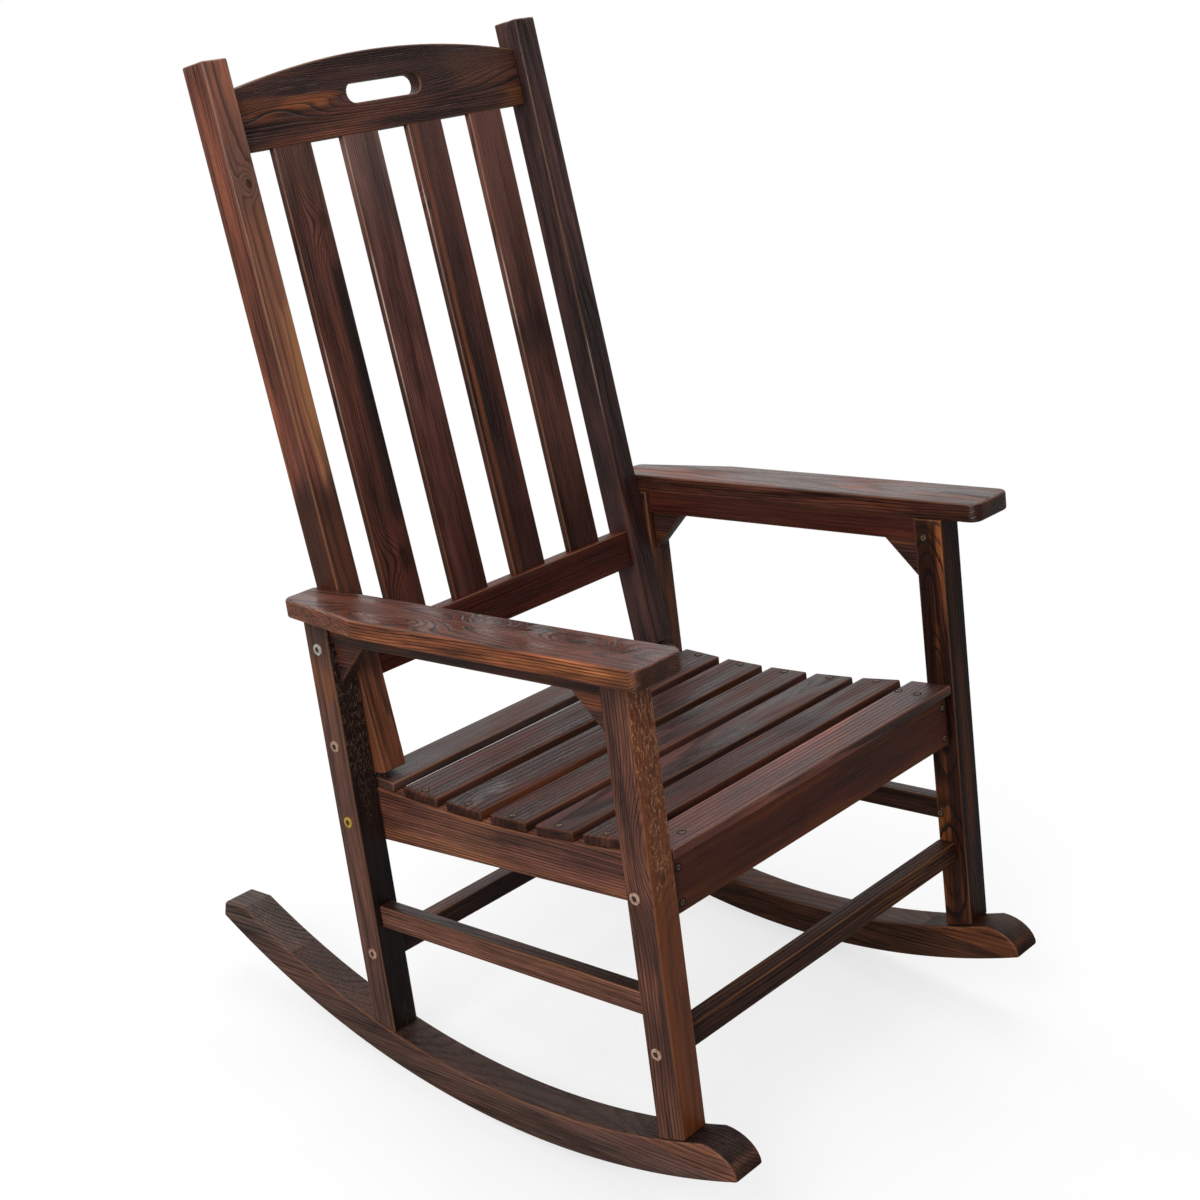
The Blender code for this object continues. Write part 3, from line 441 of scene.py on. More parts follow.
def straightBoard(node, turn, lengthwise):
    low, high, footNormal = readBoard(node, turn)
    centre = (low + high) / 2
    size = high - low
    bm = bmesh.new()
    bmesh.ops.create_cube(bm, size=1.0)
    sloped = footNormal.z > -straight["level"] and lengthwise == 2
    grow = Vector((0, 0, straight["footRoom"] if sloped else 0.0))
    bmesh.ops.scale(bm, vec=size + grow, verts=bm.verts)
    bmesh.ops.translate(bm, vec=centre - grow / 2, verts=bm.verts)
    if sloped:  # a leg's foot is cut to the slope of its rocker
        sliceOff(bm, (centre.x, centre.y, low.z), footNormal)
    lines = sharpLines(bm.edges)
    roundEdges(bm, bm.edges[:], straight["edge"], straight["segments"])
    flats = sorted(bm.faces, key=lambda face: -face.calc_area())[:straight["sides"]]
    wide = [face for face in flats if min(edge.calc_length() for edge in face.edges) > straight["narrow"]]
    bmesh.ops.inset_individual(bm, faces=wide, thickness=straight["band"], use_even_offset=True)
    dress(bm, node, turn, centre, grainOrder(size, lengthwise), lines)


plate = {"edge": 0.0026, "segments": 3, "corner": math.radians(35), "step": 0.011, "stretch": 2,
         "faceOn": 0.999, "level": 0.0002}


def sawnPlate(node, turn, normal, lengthwise):
    # a shape sawn from a flat board: its face is read from the frame and given the board's thickness
    bm = cadCopy(node)
    outward = turn @ Vector(normal)
    levels = [vert.co.dot(outward) for vert in bm.verts]
    level = max(levels) - plate["level"]
    spare = [face for face in bm.faces
             if face.normal.dot(outward) < plate["faceOn"] or face.calc_center_median().dot(outward) < level]
    bmesh.ops.delete(bm, geom=spare, context="FACES")
    thicken(bm, outward * (min(levels) - max(levels)))
    bmesh.ops.transform(bm, matrix=turn.inverted().to_4x4(), verts=bm.verts)
    bm.normal_update()
    corners = [edge for edge in bm.edges if edge.calc_face_angle(0.0) > plate["corner"]]
    lines = sharpLines(corners)
    roundEdges(bm, corners, plate["edge"], plate["segments"])
    low, high = span([vert.co for vert in bm.verts])
    lattice(bm, [plate["step"] * (plate["stretch"] if axis == lengthwise else 1) for axis in range(3)])
    dress(bm, node, turn, (low + high) / 2, grainOrder(high - low, lengthwise), lines)


rocker = {"arcStep": math.radians(0.8), "glueLine": 0.0003, "edge": 0.0030, "segments": 3,
          "steps": (0.011, 0.022, 0.011), "same": 0.0004, "onSide": 0.0001}


def circleThrough(*spots):  # the middle of the circle on which three points lie
    twice, x, y = 0.0, 0.0, 0.0
    for spot, following, last in zip(spots, spots[1:] + spots[:1], spots[2:] + spots[:2]):
        twice += 2 * spot.x * (following.y - last.y)
        x += spot.length_squared * (following.y - last.y)
        y += spot.length_squared * (last.x - following.x)
    return Vector((x, y)) / twice


def rockerBoards(sideName):
    # one curved runner is shaped whole, then sawn along the glue line into the blank and its two end blocks
    blank, toe, heel = (f"{block}_{sideName}" for block in ("rocker", "rocker_toe", "rocker_heel"))
    spots = {node: cadSpots(node, chairTurn) for node in (blank, toe, heel)}
    low, high = span(spots[blank])
    rim = {}
    for node in spots:  # the corners of one side face, from front to rear
        flat = [Vector((spot.y, spot.z)) for spot in spots[node] if spot.x < low.x + rocker["onSide"]]
        rim[node] = sorted(flat, key=lambda spot: spot.x)
    centre = circleThrough(rim[blank][0], rim[blank][-1], min(rim[blank], key=lambda spot: spot.y))
    under = (rim[blank][0] - centre).length
    top = min((spot - centre).length for spot in rim[blank])

    def onArc(node, radius):
        return [spot for spot in rim[node] if abs((spot - centre).length - radius) < rocker["same"]]

    def between(node):  # the corners of the nose or the heel, from the top arc to the under arc
        inside = [spot for spot in rim[node]
                  if top + rocker["same"] < (spot - centre).length < under - rocker["same"]]
        return sorted(inside, key=lambda spot: (spot - centre).length)

    bm = bmesh.new()

    def arc(start, end):
        begin, stop = (math.atan2(spot.x - centre.x, centre.y - spot.y) for spot in (start, end))
        first = bm.verts.new((low.x, *start))
        done = bmesh.ops.spin(bm, geom=[first], cent=(low.x, *centre), axis=(1, 0, 0), angle=stop - begin,
                              steps=round(abs(stop - begin) / rocker["arcStep"]))
        return first, next(item for item in done["geom_last"] if isinstance(item, bmesh.types.BMVert))

    underFirst, underLast = arc(onArc(toe, under)[0], onArc(heel, under)[-1])
    topFirst, topLast = arc(onArc(heel, top)[-1], onArc(toe, top)[0])
    heelEnd = [bm.verts.new((low.x, *spot)) for spot in reversed(between(heel))]
    nose = [bm.verts.new((low.x, *spot)) for spot in between(toe)]
    for chain in ([underLast, *heelEnd, topFirst], [topLast, *nose, underFirst]):
        for start, end in zip(chain, chain[1:]):
            bm.edges.new((start, end))
    bmesh.ops.contextual_create(bm, geom=bm.edges[:])
    thicken(bm, (high.x - low.x, 0, 0))
    corners = [edge for edge in bm.edges if edge.calc_face_angle(0.0) > plate["corner"]]
    lines = sharpLines(corners)
    roundEdges(bm, corners, rocker["edge"], rocker["segments"])
    seamFront, seamRear = onArc(blank, under)[0], onArc(blank, under)[-1]
    offSeam = Vector((0, seamFront.y - seamRear.y, seamRear.x - seamFront.x)).normalized()
    seam = Vector((low.x, *seamFront))
    middle = (seamFront.x + seamRear.x) / 2
    for node, end in ((blank, 0), (toe, -1), (heel, 1)):
        block = bm.copy()
        if end:
            sliceOff(block, seam + offSeam * rocker["glueLine"], -offSeam)
            other = [vert for vert in block.verts if (vert.co.y - middle) * end < 0]
            bmesh.ops.delete(block, geom=other, context="VERTS")
        else:
            sliceOff(block, seam, offSeam)
        lowest, highest = span([vert.co for vert in block.verts])
        lattice(block, rocker["steps"])
        dress(block, node, chairTurn, (lowest + highest) / 2, (1, 2, 0), lines)
    bm.free()


arm = {"taper": 0.147, "inset": 0.0245, "frontRound": 0.014, "rearRound": 0.009, "roundSegments": 8,
       "atEnd": 0.001, "upright": 0.01, "rim": math.radians(60), "edge": 0.0034, "segments": 4,
       "steps": (0.008, 0.02, 0.006)}


def armBoard(node, side):
    low, high = span(cadSpots(node, chairTurn))
    inner, outer = (high.x, low.x) if side < 0 else (low.x, high.x)
    bm = bmesh.new()
    corners = [(inner, low.y), (outer, low.y), (outer, high.y - arm["taper"]),
               (outer - side * arm["inset"], high.y), (inner, high.y)]
    bm.faces.new([bm.verts.new((x, y, low.z)) for x, y in corners])
    thicken(bm, (0, 0, high.z - low.z))
    for end, radius in ((low.y, arm["frontRound"]), (high.y, arm["rearRound"])):
        posts = [edge for edge in bm.edges if all(abs(vert.co.y - end) < arm["atEnd"] for vert in edge.verts)
                 and abs(edge.verts[0].co.z - edge.verts[1].co.z) > arm["upright"]]
        roundEdges(bm, posts, radius, arm["roundSegments"])
    bm.normal_update()
    rims = [edge for edge in bm.edges if edge.calc_face_angle(0.0) > arm["rim"]]
    lines = sharpLines(rims)
    roundEdges(bm, rims, arm["edge"], arm["segments"])
    lattice(bm, arm["steps"])
    dress(bm, node, chairTurn, (low + high) / 2, (1, 0, 2), lines)


# What each board shows: ground, warm and dark are its colours, faces and glint add painted shade, light and
# highlights, and the rest is how its grain runs
# ways that faces look, for the painted shade and light laid on whole faces
forward, upward = (0, -1, 0), (0, 0, 1)
fine = {"ring": 0.0028, "heart": (0.075, 0.020), "lean": (0.012, 0.004), "wander": 0.006}  # straight lines
flamed = {"ring": 0.0040, "heart": (0.004, 0.050), "lean": (0.01, 0.05), "wander": 0.010}  # pointed arches
mottled = {"blotch": 3.6, "streak": 1.7}  # an uneven stain
boardLooks = {
    "front_leg_right": {
        "ground": "#6a4133", "warm": "#8e593f", "ring": 0.0044, "heart": (0.075, 0.025), "lines": 0.9,
        "ragged": 0.4, "wander": 0.013, "knots": ((0.075, -0.008, 0.011, 0.0, 0.4),),
        "zones": ((-0.06, 0.03, "#2a1a17", 0.5), (-0.20, -0.12, "#3a231b", 0.4)),
        "scuffed": (1, -1, 0.019, "#7c3f1b", "#d2a06a")},
    "rear_leg_right": {
        "ground": "#684539", "warm": "#8a5540", "burn": 0.4, "heart": (0.03, 0.06), "lines": 0.4,
        "streak": 1.0, "zones": ((0.165, 0.205, "#a8642f", 0.4), (0.22, 0.30, "#3a2720", 0.5)),
        "faces": ((forward, "#0c0807", 0.88),), "scuffed": (1, -1, 0.019, "#0f0806", "#7a5440")},
    "front_leg_left": {
        "ground": "#30170f", "warm": "#8c4c24", "ring": 0.0046, "heart": (0.0, 0.045), "lines": 0.88,
        "lean": (0.0, 0.05), "flare": 0.85, "wander": 0.012, "faces": ((forward, "#160a06", 0.65),),
        "lacquer": 1.33,
        "knots": ((0.190, 0.002, 0.009, 0.0, 0.26), (0.087, 0.0, 0.006, 0.4, 0.35),
                  (0.010, -0.003, 0.008, 0.0, 0.24), (-0.19, 0.002, 0.008, 0.0, 0.24))},
    "rear_leg_left": {
        "ground": "#3a1f1a", "heart": (0.0, 0.05), "lean": (0.0, 0.03)},
    "arm_rail_right": {
        "ground": "#40221a", "lines": 0.7, **fine},
    "arm_rail_left": {
        "ground": "#4a1f15", "warm": "#5e2c1c", "lines": 0.25, "fibre": 0.7, "blotch": 1.0, "burn": 0.15},
    "side_stretcher_right": {
        "ground": "#7a5040", "warm": "#8c5b44", **fine, "lines": 0.65, "streak": 1.0, "lacquer": 1.32,
        "faces": ((upward, "#140b09", 0.85),)},
    "side_stretcher_left": {
        "ground": "#3a211a", "warm": "#5a3426", "lines": 0.35, "lacquer": 1.32},
    "back_stile_right": {
        "ground": "#7a4434", "warm": "#9a5a3a", "flare": 0.5, **fine, "blotch": 2.2, "streak": 1.1,
        "burn": 0.12, "lines": 0.6,
        "zones": ((0.24, 0.60, "#775447", 0.85, 1, -0.03, -0.018),
                  (-0.02, 0.24, "#8c5e45", 0.75, 1, -0.03, -0.018),
                  (-0.06, 0.14, "#b87f4e", 0.6, 2, 0.002, 0.03), (-0.105, -0.055, "#3a2018", 0.65),
                  (-0.30, -0.07, "#40200f", 0.85), (-0.70, -0.30, "#7a4a22", 0.4)),
        "knots": ((0.2787, 0.004, 0.0045, 0.9, 0.7, "through"),)},
    "back_stile_left": {
        "ground": "#412825", "warm": "#543029", "burn": 0.45, "lines": 0.5, "wear": 0.25, **fine,
        **mottled, "glint": -1},
    "armrest_right": {
        "ground": "#8a4c30", "warm": "#b8723c", "ring": 0.0027, "heart": (0.004, -0.050), "lines": 0.95,
        "lean": (0.0, 0.010), "wander": 0.005, "gloss": 0.22, "flare": 0.5, "ragged": 0.25, **mottled,
        "streak": 0.9, "patchy": 1.7, "zones": ((-0.30, -0.238, "#1d110e", 0.6),),
        "faces": ((upward, "#421c17", 0.8), (forward, "#120a08", 0.6)), "waves": 4.5,
        "knots": ((-0.0378, 0.0193, 0.006, 0.5, 0.35), (-0.1664, 0.0097, 0.007, 0.8, 0.3),
                  (0.10, -0.012, 0.007, 0.0, 0.2))},
    "armrest_left": {
        "ground": "#562e22", "warm": "#7e4424", "ring": 0.0034, "heart": (-0.004, -0.06), "lines": 0.85,
        "lean": (0.0, 0.012), "gloss": 0.28, **mottled, "patchy": 1.2, "waves": 3.0,
        "zones": ((-0.30, -0.19, "#1d110e", 0.5),)},
    "seat_side_rail_right": {
        "ground": "#714538", "warm": "#9c6442", "ring": 0.0034, "wander": 0.006, "lines": 0.75,
        "heart": (0.07, 0.03), "blotch": 2.4, "streak": 1.1, "ragged": 0.3,
        "zones": ((-0.24, -0.21, "#3c241c", 0.5), (0.0, 0.12, "#94603f", 0.3))},
    "seat_side_rail_left": {
        "ground": "#452620"},
    "seat_front_apron": {
        "ground": "#4f2519", "warm": "#723f1e", "lines": 0.12, "fibre": 0.45, "streak": 0.6,
        "blotch": 1.8, "burn": 0.15, "checks": 0.2, "bands": ((-0.06, -0.026, "#6e3c1c", 0.35),),
        "lacquer": 1.29},
    "seat_slat_front": {
        "ground": "#5e332b", "warm": "#7c4b3d", "gloss": 0.40, **fine, **mottled, "ring": 0.0070,
        "lines": 0.85, "ragged": 0.4, "wear": 0.3, "bands": ((-0.05, -0.030, "#7a4420", 0.5),),
        "zones": ((0.19, 0.30, "#22130f", 0.4),)},
    "seat_slat_rear": {
        "ground": "#442c26", "warm": "#50302a", "gloss": 0.40, "lines": 0.4, **mottled, "patchy": 1.5},
    "seat_slat_4": {
        "ground": "#40211b", "warm": "#542b20", "gloss": 0.36, "lines": 0.65, "lacquer": 1.27, **mottled,
        "waves": 3.2, "patchy": 1.5, "wear": 0.25, "ring": 0.0080,
        "knots": ((-0.223, 0.0054, 0.007, 0.7, 0.6),), "faces": ((forward, "#74401f", 0.5),),
        # the grey zone at the left end is a painted sheen
        "zones": ((-0.246, -0.195, "#857f7c", 0.35, 1, -0.012, 0.012),)},
    "front_cross_stretcher": {
        "ground": "#402820", "warm": "#7e5028", "burn": 0.55, "lines": 0.8, "lacquer": 1.22,
        "faces": ((upward, "#2a140d", 0.4),)},
    "rear_cross_stretcher": {
        "ground": "#33201b", "burn": 0.5, "lacquer": 1.32},
    "crest_rail": {
        "ground": "#442620", "warm": "#824527", "flare": 0.45, "ring": 0.0027, "heart": (0.09, 0.020),
        "lean": (0.012, 0.004), "wander": 0.006, "lines": 0.75, "streak": 0.9, "ragged": 0.35,
        "bands": ((0.030, 0.09, "#1a0f0d", 0.55),),
        "zones": ((-0.165, -0.075, "#b0602c", 0.6, 1, -0.008, 0.006),
                  (-0.26, -0.17, "#94502a", 0.5, 1, -0.016, 0.010),
                  (0.195, 0.27, "#8a5228", 0.45, 1, -0.06, -0.022),
                  (0.11, 0.28, "#6e4430", 0.5, 1, -0.016, 0.030)),
        "knots": ((-0.165, -0.001, 0.008, 0.0, 0.2), (-0.085, 0.002, 0.004, 0.0, 0.22),
                  (0.255, 0.009, 0.012, 0.0, 0.17))},
    "lower_back_rail": {
        "ground": "#431a11", "warm": "#552517", "burn": 0.2, "lines": 0.2, "fibre": 0.7, "blotch": 1.0,
        "lacquer": 1.29},
    "back_slat_1": {
        "ground": "#5c3226", "warm": "#84503a", **fine, **mottled, "lines": 0.9, "burn": 0.45,
        "lacquer": 1.38,
        "zones": ((-0.17, 0.15, "#100807", 0.95, 1, 0.010, 0.04),
                  (-0.262, -0.165, "#703322", 0.65, 1, -0.006, 0.04)), "glint": -1,
        "fades": ((0.10, 0.32, "#7a5a50", 0.35), (0.05, -0.32, "#3a160c", 0.5)),
        "knots": ((0.1952, 0.0164, 0.008, 0.55, 0.5), (-0.2127, 0.0134, 0.012, 1.0, 0.6))},
    "back_slat_2": {
        "ground": "#623730", "warm": "#8a584c", "lacquer": 1.38, **fine, **mottled, "lines": 0.8,
        "burn": 0.45, "glint": -1, "bands": ((-0.05, -0.024, "#1a0f0d", 0.7),),
        "fades": ((0.10, 0.28, "#8a6a62", 0.65), (0.12, -0.28, "#3a160c", 0.7))},
    "back_slat_3": {
        "ground": "#4c251d", "warm": "#743824", **fine, **mottled, "lines": 0.8, "burn": 0.45,
        "bands": ((-0.021, -0.014, "#9a5224", 0.75), (-0.013, -0.008, "#100908", 0.85)), "glint": -1,
        "knots": ((0.186, -0.026, 0.004, 0.9, 0.6),),
        "fades": ((0.0, 0.28, "#6e4a42", 0.5), (0.0, -0.28, "#28130d", 0.55))},
    "back_slat_4": {
        "ground": "#553026", "warm": "#784634", **fine, **mottled, "lines": 0.75, "burn": 0.45,
        "glint": -1, "zones": ((-0.02, 0.03, "#22130f", 0.6),),
        "fades": ((0.0, 0.24, "#84554a", 0.6), (0.0, -0.28, "#28130d", 0.5))},
}
for number in (1, 2, 3, 5):
    boardLooks[f"seat_slat_{number}"] = {
        "ground": "#42251f", "warm": "#5a332b", "gloss": 0.36, "lines": 0.65, "lacquer": 1.29, **mottled,
        "faces": ((forward, "#5c301a", 0.35),), "waves": 3.2, "patchy": 1.5, "wear": 0.25,
        **(fine if number % 2 else flamed), "ring": 0.0080}
boardLooks["seat_slat_1"]["zones"] = ((0.07, 0.13, "#100b0a", 0.5),)
boardLooks["seat_slat_2"]["bands"] = ((-0.034, -0.0265, "#160a07", 0.85),)
for sideName, ground, warm, toe in (("right", "#5c443c", "#704c40", "#885a48"),
                                    ("left", "#553628", "#7a4424", "#6e4029")):
    boardLooks[f"rocker_{sideName}"] = {
        "ground": ground, "warm": warm, "heart": (0.09, 0.03), "lines": 0.3, "blotch": 2.0, "streak": 0.6,
        "gloss": 0.5, "lacquer": 1.27, "faces": ((upward, "#1c100d", 0.5),)}
    boardLooks[f"rocker_toe_{sideName}"] = {
        "ground": toe, "warm": "#a56a40", "heart": (0.05, 0.05), "lines": 0.6, "gloss": 0.5, "lacquer": 1.28,
        "burn": 0.4, "faces": ((upward, "#140b09", 0.95), (forward, "#140b09", 0.9))}
    boardLooks[f"rocker_heel_{sideName}"] = {
        "ground": "#5e4b43", "warm": warm, "heart": (0.05, 0.04), "lines": 0.65, "gloss": 0.5,
        "lacquer": 1.3, "faces": ((upward, "#1c100d", 0.3),)}
    for place in ("front", "rear"):
        boardLooks[f"corner_brace_{place}_{sideName}"] = {"ground": "#4a2d28", "lines": 0.75, "ring": 0.003}

sides = (("right", -1), ("left", 1))
for sideName, side in sides:
    for place in ("front", "rear"):
        straightBoard(f"{place}_leg_{sideName}", chairTurn, 2)
        sawnPlate(f"corner_brace_{place}_{sideName}", chairTurn, (side, 0, 0), 1)
    straightBoard(f"arm_rail_{sideName}", chairTurn, 1)
    straightBoard(f"side_stretcher_{sideName}", chairTurn, 1)
    straightBoard(f"back_stile_{sideName}", backTurn, 2)
    armBoard(f"armrest_{sideName}", side)
    sawnPlate(f"seat_side_rail_{sideName}", chairTurn, (-side, 0, 0), 1)
    rockerBoards(sideName)
print("side frames dressed")

seatSlats = ["seat_slat_front"] + [f"seat_slat_{number}" for number in range(1, 6)] + ["seat_slat_rear"]
for node in seatSlats:
    straightBoard(node, slatTurn(node), 0)
for node in ("seat_front_apron", "front_cross_stretcher", "rear_cross_stretcher"):
    straightBoard(node, chairTurn, 0)
print("seat dressed")

sawnPlate("crest_rail", backTurn, forward, 0)
straightBoard("lower_back_rail", backTurn, 0)
for number in range(1, 5):
    straightBoard(f"back_slat_{number}", backTurn, 2)
print("back dressed")


# Steel fittings are turned from a profile and pressed with a key. A profile's rows are the radius, the
# height, the depth of painted shade in its hollows and the share of torn wood. What lies inside the keyed
# radius and above the key's depth takes the key's shape. Patch and scratch are the scale, shift and detail
# of a noise.
# pit is the colour of the painted shade in a fitting's hollows
steel = {"pit": "#0d0a09", "pitShade": 0.9, "patch": ((420, 420, 420), (3, 1, 7), 3.0),
         "patchStep": (-0.12, 0.2), "scratch": ((900, 2600, 2600), (5, 2, 8), 2.0), "scratchShade": 0.5,
         "gloss": 0.26, "patchRough": 0.14, "scratchRough": 0.2, "tornRough": 0.35, "pitRough": 0.2,
         "tornHeight": 2, "metallic": 0.35, "bump": {"Strength": 0.25, "Distance": 0.0002}}


def fittingMetal(name, light, dull, torn):
    finish, start, shader = newFinish(name)
    spot = start.node("ShaderNodeTexCoord", None, None, 3)
    pit = start.node("ShaderNodeAttribute", {"attribute_name": "pit"}, None, 2)
    rag = start.node("ShaderNodeAttribute", {"attribute_name": "torn"}, None, 2)
    patch = spot.noise(*steel["patch"]).step(*steel["patchStep"])
    scratch = spot.noise(*steel["scratch"])
    colour = patch.tint(light, dull).lit(1 + scratch * steel["scratchShade"])
    # painted shade: the hollows of a fitting are darkened by their pit share
    colour = colour.over(torn, rag).over(steel["pit"], pit * steel["pitShade"])
    roughness = steel["gloss"] + patch * steel["patchRough"] + scratch * steel["scratchRough"]
    roughness = roughness + rag * steel["tornRough"] + pit * steel["pitRough"]
    height = scratch + rag * steel["tornHeight"]
    bump = height.node("ShaderNodeBump", None, {**steel["bump"], "Height": height})
    plug(shader, {"Base Color": colour, "Roughness": roughness, "Metallic": (1 - rag) * steel["metallic"],
                  "Normal": bump})
    return finish


def turnFitting(bm, profile, matrix, fitting, key):
    paintedShadeLayer = bm.verts.layers.float.get("pit") or bm.verts.layers.float.new("pit")
    tornLayer = bm.verts.layers.float.get("torn") or bm.verts.layers.float.new("torn")
    row = []
    for radius, height, pit, torn in profile:
        vert = bm.verts.new((radius, 0, height))
        vert[paintedShadeLayer] = pit
        vert[tornLayer] = torn
        row.append(vert)
    rib = [bm.edges.new(pair) for pair in zip(row, row[1:])]
    before = set(bm.verts) - set(row)
    bmesh.ops.spin(bm, geom=row + rib, cent=(0, 0, 0), axis=(0, 0, 1), angle=2 * math.pi,
                   steps=fitting["steps"], use_merge=True)
    made = [vert for vert in bm.verts if vert not in before]
    for vert in made:
        reach = math.hypot(vert.co.x, vert.co.y)
        if 0 < reach < fitting["keyed"] and vert.co.z > -fitting["keyDepth"]:
            share = key(math.atan2(vert.co.y, vert.co.x))
            vert.co.x *= share
            vert.co.y *= share
    bmesh.ops.transform(bm, matrix=matrix, verts=made)
    bmesh.ops.remove_doubles(bm, verts=made, dist=meshing["seam"])


def facing(turn, spot, normal, roll):  # the place of a fitting whose own Z looks out of a board
    lookOut = Vector((0, 0, 1)).rotation_difference(Vector(normal)).to_matrix().to_4x4()
    return turn.to_4x4() @ Matrix.Translation(spot) @ lookOut @ Matrix.Rotation(roll, 4, "Z")


# the pit share paints shade in the hex socket and at the foot of the head
bolt = {"head": ((0.0, -0.0013, 1, 0), (0.0036, -0.0013, 1, 0), (0.0036, -0.0004, 0.5, 0),
                 (0.0038, 0, 0, 0), (0.0043, 0, 0, 0), (0.0049, -0.0002, 0.1, 0), (0.0061, -0.0001, 0, 0),
                 (0.00673, -0.00027, 0, 0), (0.0070, -0.0009, 0, 0), (0.0070, -0.0036, 0.6, 0),
                 (0.003, -0.0036, 0, 0)), "shank": 0.003, "raised": 0.0006, "steps": 48, "keyed": 0.0041,
        "keyDepth": 0.0027, "torn": "#2a1712",
        "finishes": {"nickel": ("#e6dfd2", "#a89f92"), "brass": ("#e8c25c", "#b08430"),
                     "zinc": ("#e0bda6", "#a8765c")},
        "kinds": {"back_bolt_upper_right": "nickel", "seat_bolt_rear_right": "brass"}}
boltFinish = {}
for kind, tints in bolt["finishes"].items():
    boltFinish[kind] = fittingMetal("bolt_" + kind, *tints, bolt["torn"])


def hexKey(angle):  # the share of a circle's radius that a hexagon reaches at an angle
    return math.cos(math.pi / 6) / math.cos(angle % (math.pi / 3) - math.pi / 6)


def makeBolt(node, side):
    low, high = (Vector(corner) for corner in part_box(node))
    length = high.x - low.x
    centre = (low + high) / 2
    face = Vector((high.x if side > 0 else low.x, centre.y, centre.z))
    seat = face + Vector((side * bolt["raised"], 0, 0))
    profile = [*bolt["head"], (bolt["shank"], -length, 0, 0), (0.0, -length, 0, 0)]
    roll = random.Random(node).uniform(0, math.pi / 3)
    bm = bmesh.new()
    turnFitting(bm, profile, facing(Matrix.Identity(3), seat, (side, 0, 0), roll), bolt, hexKey)
    hang(bm, node + "_turned", boltFinish[bolt["kinds"].get(node, "zinc")], [node])


for sideName, side in sides:
    for place in ("back_bolt_upper", "back_bolt_lower", "seat_bolt_rear", "seat_bolt_front",
                  "cross_bolt_front", "cross_bolt_rear"):
        makeBolt(f"{place}_{sideName}", side)
print("bolts made")

# Screws are placed in metres from the middle of a board. The apron's rises are shares of its height.
# the pit share paints shade on the sunk middle and in the groove round the head
screw = {"head": ((0.0, 0.0001, 1, 0), (0.0019, 0.0001, 1, 0), (0.0022, 0.0005, 0.3, 0),
                  (0.0030, 0.0004, 0, 0), (0.0033, 0.0001, 0.9, 0.5), (0.0036, 0.0001, 1, 1),
                  (0.0039, 0.0008, 0.8, 1), (0.0046, 0.0007, 0.2, 1), (0.0055, 0.0001, 0, 1),
                  (0.0050, -0.002, 0, 1), (0.0, -0.002, 0, 0)), "steps": 32, "keyed": 0.0021,
         "keyDepth": 0.0014, "core": 0.34, "taper": 3, "metal": ("#a98a66", "#5c4230"), "torn": "#2a130c",
         "slatPlaces": ((0.250, 0.0),), "frontPlaces": ((0.220, -0.007), (0.223, 0.0225)),
         "apronReach": 0.248, "apronRises": (0.18, 0.80),
         "legPlaces": ((0.2433, 0.007), (-0.1154, 0.0147))}
screwFinish = fittingMetal("screw_steel", *screw["metal"], screw["torn"])


def crossKey(angle):  # the share of a circle's radius that a cross reaches at an angle
    return screw["core"] + (1 - screw["core"]) * abs(math.cos(2 * angle)) ** screw["taper"]


def driveScrews(name, rows):  # rows are the turn of a board, a spot on its face and the face's normal
    bm = bmesh.new()
    luck = random.Random(name)
    for turn, spot, normal in rows:
        place = facing(turn, Vector(spot), normal, luck.uniform(0, math.pi / 2))
        turnFitting(bm, screw["head"], place, screw, crossKey)
    hang(bm, name, screwFinish, [])


slatRows = []
for node in seatSlats:
    low, high = readBoard(node, slatTurn(node))[:2]
    for reach, across in screw["frontPlaces" if node == "seat_slat_front" else "slatPlaces"]:
        for side in (-1, 1):
            slatRows.append((slatTurn(node), (side * reach, (low.y + high.y) / 2 + across, high.z), upward))
driveScrews("seat_screws", slatRows)
low, high = readBoard("seat_front_apron", chairTurn)[:2]
apronRows = []
for side in (-1, 1):
    for share in screw["apronRises"]:
        spot = (side * screw["apronReach"], low.y, low.z + share * (high.z - low.z))
        apronRows.append((chairTurn, spot, forward))
driveScrews("apron_screws", apronRows)
legRows = []
for sideName, side in sides:
    low, high = readBoard(f"front_leg_{sideName}", chairTurn)[:2]
    for rise, setback in screw["legPlaces"]:
        middle = (low + high) / 2
        spot = (low.x if side > 0 else high.x, middle.y + setback, middle.z + rise)
        legRows.append((chairTurn, spot, (-side, 0, 0)))
driveScrews("leg_screws", legRows)
print("screws driven")


# Studio: a pale floor in front of a white backdrop, with soft boxes above and around
studio = {"floor": 9.0, "paper": 0.94, "bounce": 0.16, "mottle": ((3, 3, 3), (0, 0, 0)),
          "mottleLight": 0.02, "paperRough": 0.9, "shadow": (0.55, 1.5), "lift": 0.70, "sky": 0.40,
          "room": 0.08, "backdrop": (0.66, 0.74, 0.10), "backdropStep": (0.0, 0.7)}


def raySeen(start):  # whether a ray comes from the camera, and whether it was mirrored
    glassy = start.node("ShaderNodeLightPath", None, None, "Is Transmission Ray")
    mirrored = start.node("ShaderNodeLightPath", None, None, "Is Glossy Ray")
    return start.node("ShaderNodeLightPath").most(glassy), mirrored


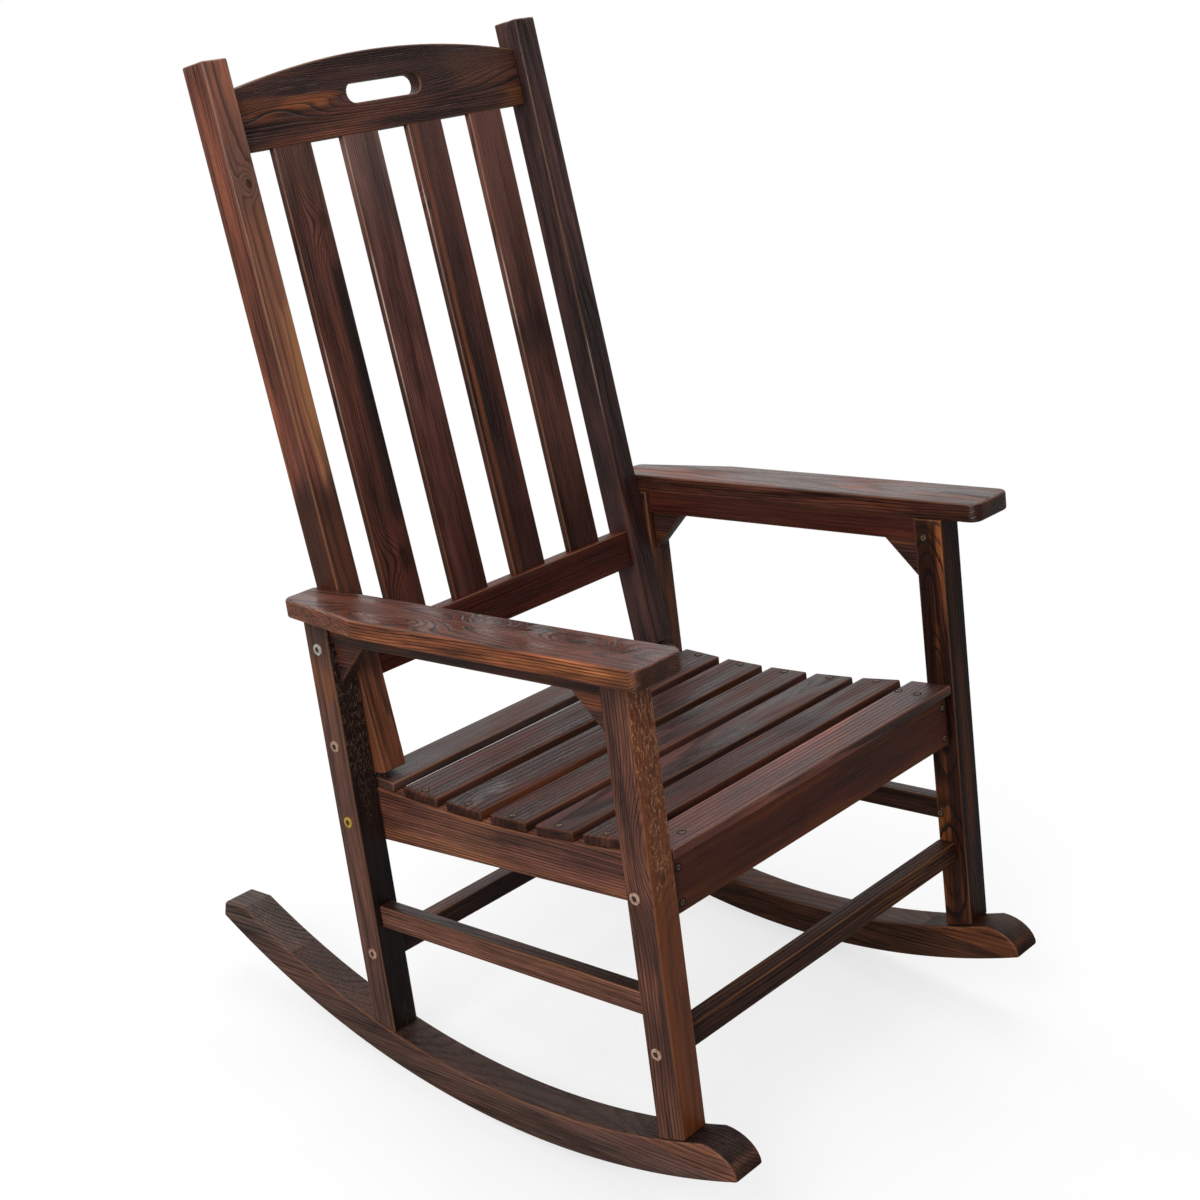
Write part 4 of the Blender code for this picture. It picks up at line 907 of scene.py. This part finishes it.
def makeFloor():
    bm = bmesh.new()
    bmesh.ops.create_grid(bm, x_segments=1, y_segments=1, size=studio["floor"])
    mesh = bpy.data.meshes.new("floor")
    bm.to_mesh(mesh)
    bm.free()
    floor = bpy.data.objects.new("floor", mesh)
    bpy.context.scene.collection.objects.link(floor)
    finish, start, shader = newFinish("floor_paper")
    tree = finish.node_tree
    spot = start.node("ShaderNodeTexCoord", None, None, 3)
    direct = start.node("ShaderNodeLightPath")
    seen, mirrored = raySeen(start)
    tint = spot.noise(*studio["mottle"]) * studio["mottleLight"] + studio["bounce"]
    tint = tint + direct * (studio["paper"] - studio["bounce"])
    paper = tint.node("ShaderNodeCombineXYZ", None, {0: tint, 1: tint, 2: tint})
    plug(shader, {"Base Color": paper, "Roughness": studio["paperRough"], "Specular IOR Level": 0.0})
    away = spot.node("ShaderNodeVectorMath", {"operation": "LENGTH"}, {0: spot}, 1)
    white = away.step(*studio["shadow"]) * (1 - studio["lift"]) + studio["lift"]
    glow = start.node("ShaderNodeEmission", None, {"Color": (1, 1, 1, 1), "Strength": 1.0})
    share = seen * white + mirrored * (white * studio["room"])
    surface = start.node("ShaderNodeMixShader", None, {0: share, 1: Wire(tree, shader.outputs[0]), 2: glow})
    tree.links.new(surface.socket, tree.nodes["Material Output"].inputs["Surface"])
    mesh.materials.append(finish)


def makeSky():  # white to the camera; the lacquer mirrors a dark room behind it
    world = bpy.data.worlds.new("studio")
    world.use_nodes = True
    bpy.context.scene.world = world
    sky = Wire(world.node_tree)
    seen, mirrored = raySeen(sky)
    ahead = sky.node("ShaderNodeTexCoord").dot(studio["backdrop"])
    backdrop = ahead.step(*studio["backdropStep"]) * (1 - studio["room"]) + studio["room"]
    strength = seen + mirrored * backdrop + (1 - seen.most(mirrored)) * studio["sky"]
    surround = world.node_tree.nodes["Background"]
    plug(surround, {"Color": (1.0, 1.0, 1.0, 1.0), "Strength": strength})


makeFloor()
makeSky()

lamps = {  # place, aim, size, watts, and whether the lacquer mirrors it
    "key": ((-2.9, -0.9, 2.8), (0, 0, 0.5), 2.2, 75, True),
    "strip": ((-3.1, -1.7, 1.25), (0, 0, 0.6), 1.0, 14, True),
    "rearFill": ((0.4, 3.4, 1.7), (0, 0, 0.6), 2.0, 42, False),
    "sideFill": ((3.2, 0.9, 1.2), (0, 0, 0.6), 1.8, 32, False),
    "top": ((0.6, 0.4, 3.4), (0, 0, 0.5), 2.6, 44, True)}
for name, (place, aim, size, watts, mirrored) in lamps.items():
    lamp = bpy.data.lights.new(name, "AREA")
    lamp.size = size
    lamp.energy = watts
    box = bpy.data.objects.new(name, lamp)
    box.location = place
    box.rotation_euler = (Vector(aim) - Vector(place)).to_track_quat("-Z", "Y").to_euler()
    box.visible_glossy = mirrored
    bpy.context.scene.collection.objects.link(box)

view = {"place": (-1.596912, -1.445212, 1.452289), "turn": (67.32958, 1.02289, -47.83431), "focal": 1952.24,
        "pixels": 1200.0, "sensor": 36.0}  # the focal length is in pixels of the picture
camera = bpy.data.cameras.new("photo")
camera.sensor_width = view["sensor"]
camera.lens = view["sensor"] * view["focal"] / view["pixels"]
eye = bpy.data.objects.new("photo", camera)
eye.location = view["place"]
eye.rotation_euler = [math.radians(angle) for angle in view["turn"]]
bpy.context.scene.collection.objects.link(eye)
bpy.context.scene.camera = eye
bpy.context.scene.view_settings.view_transform = "Standard"
print("studio ready")
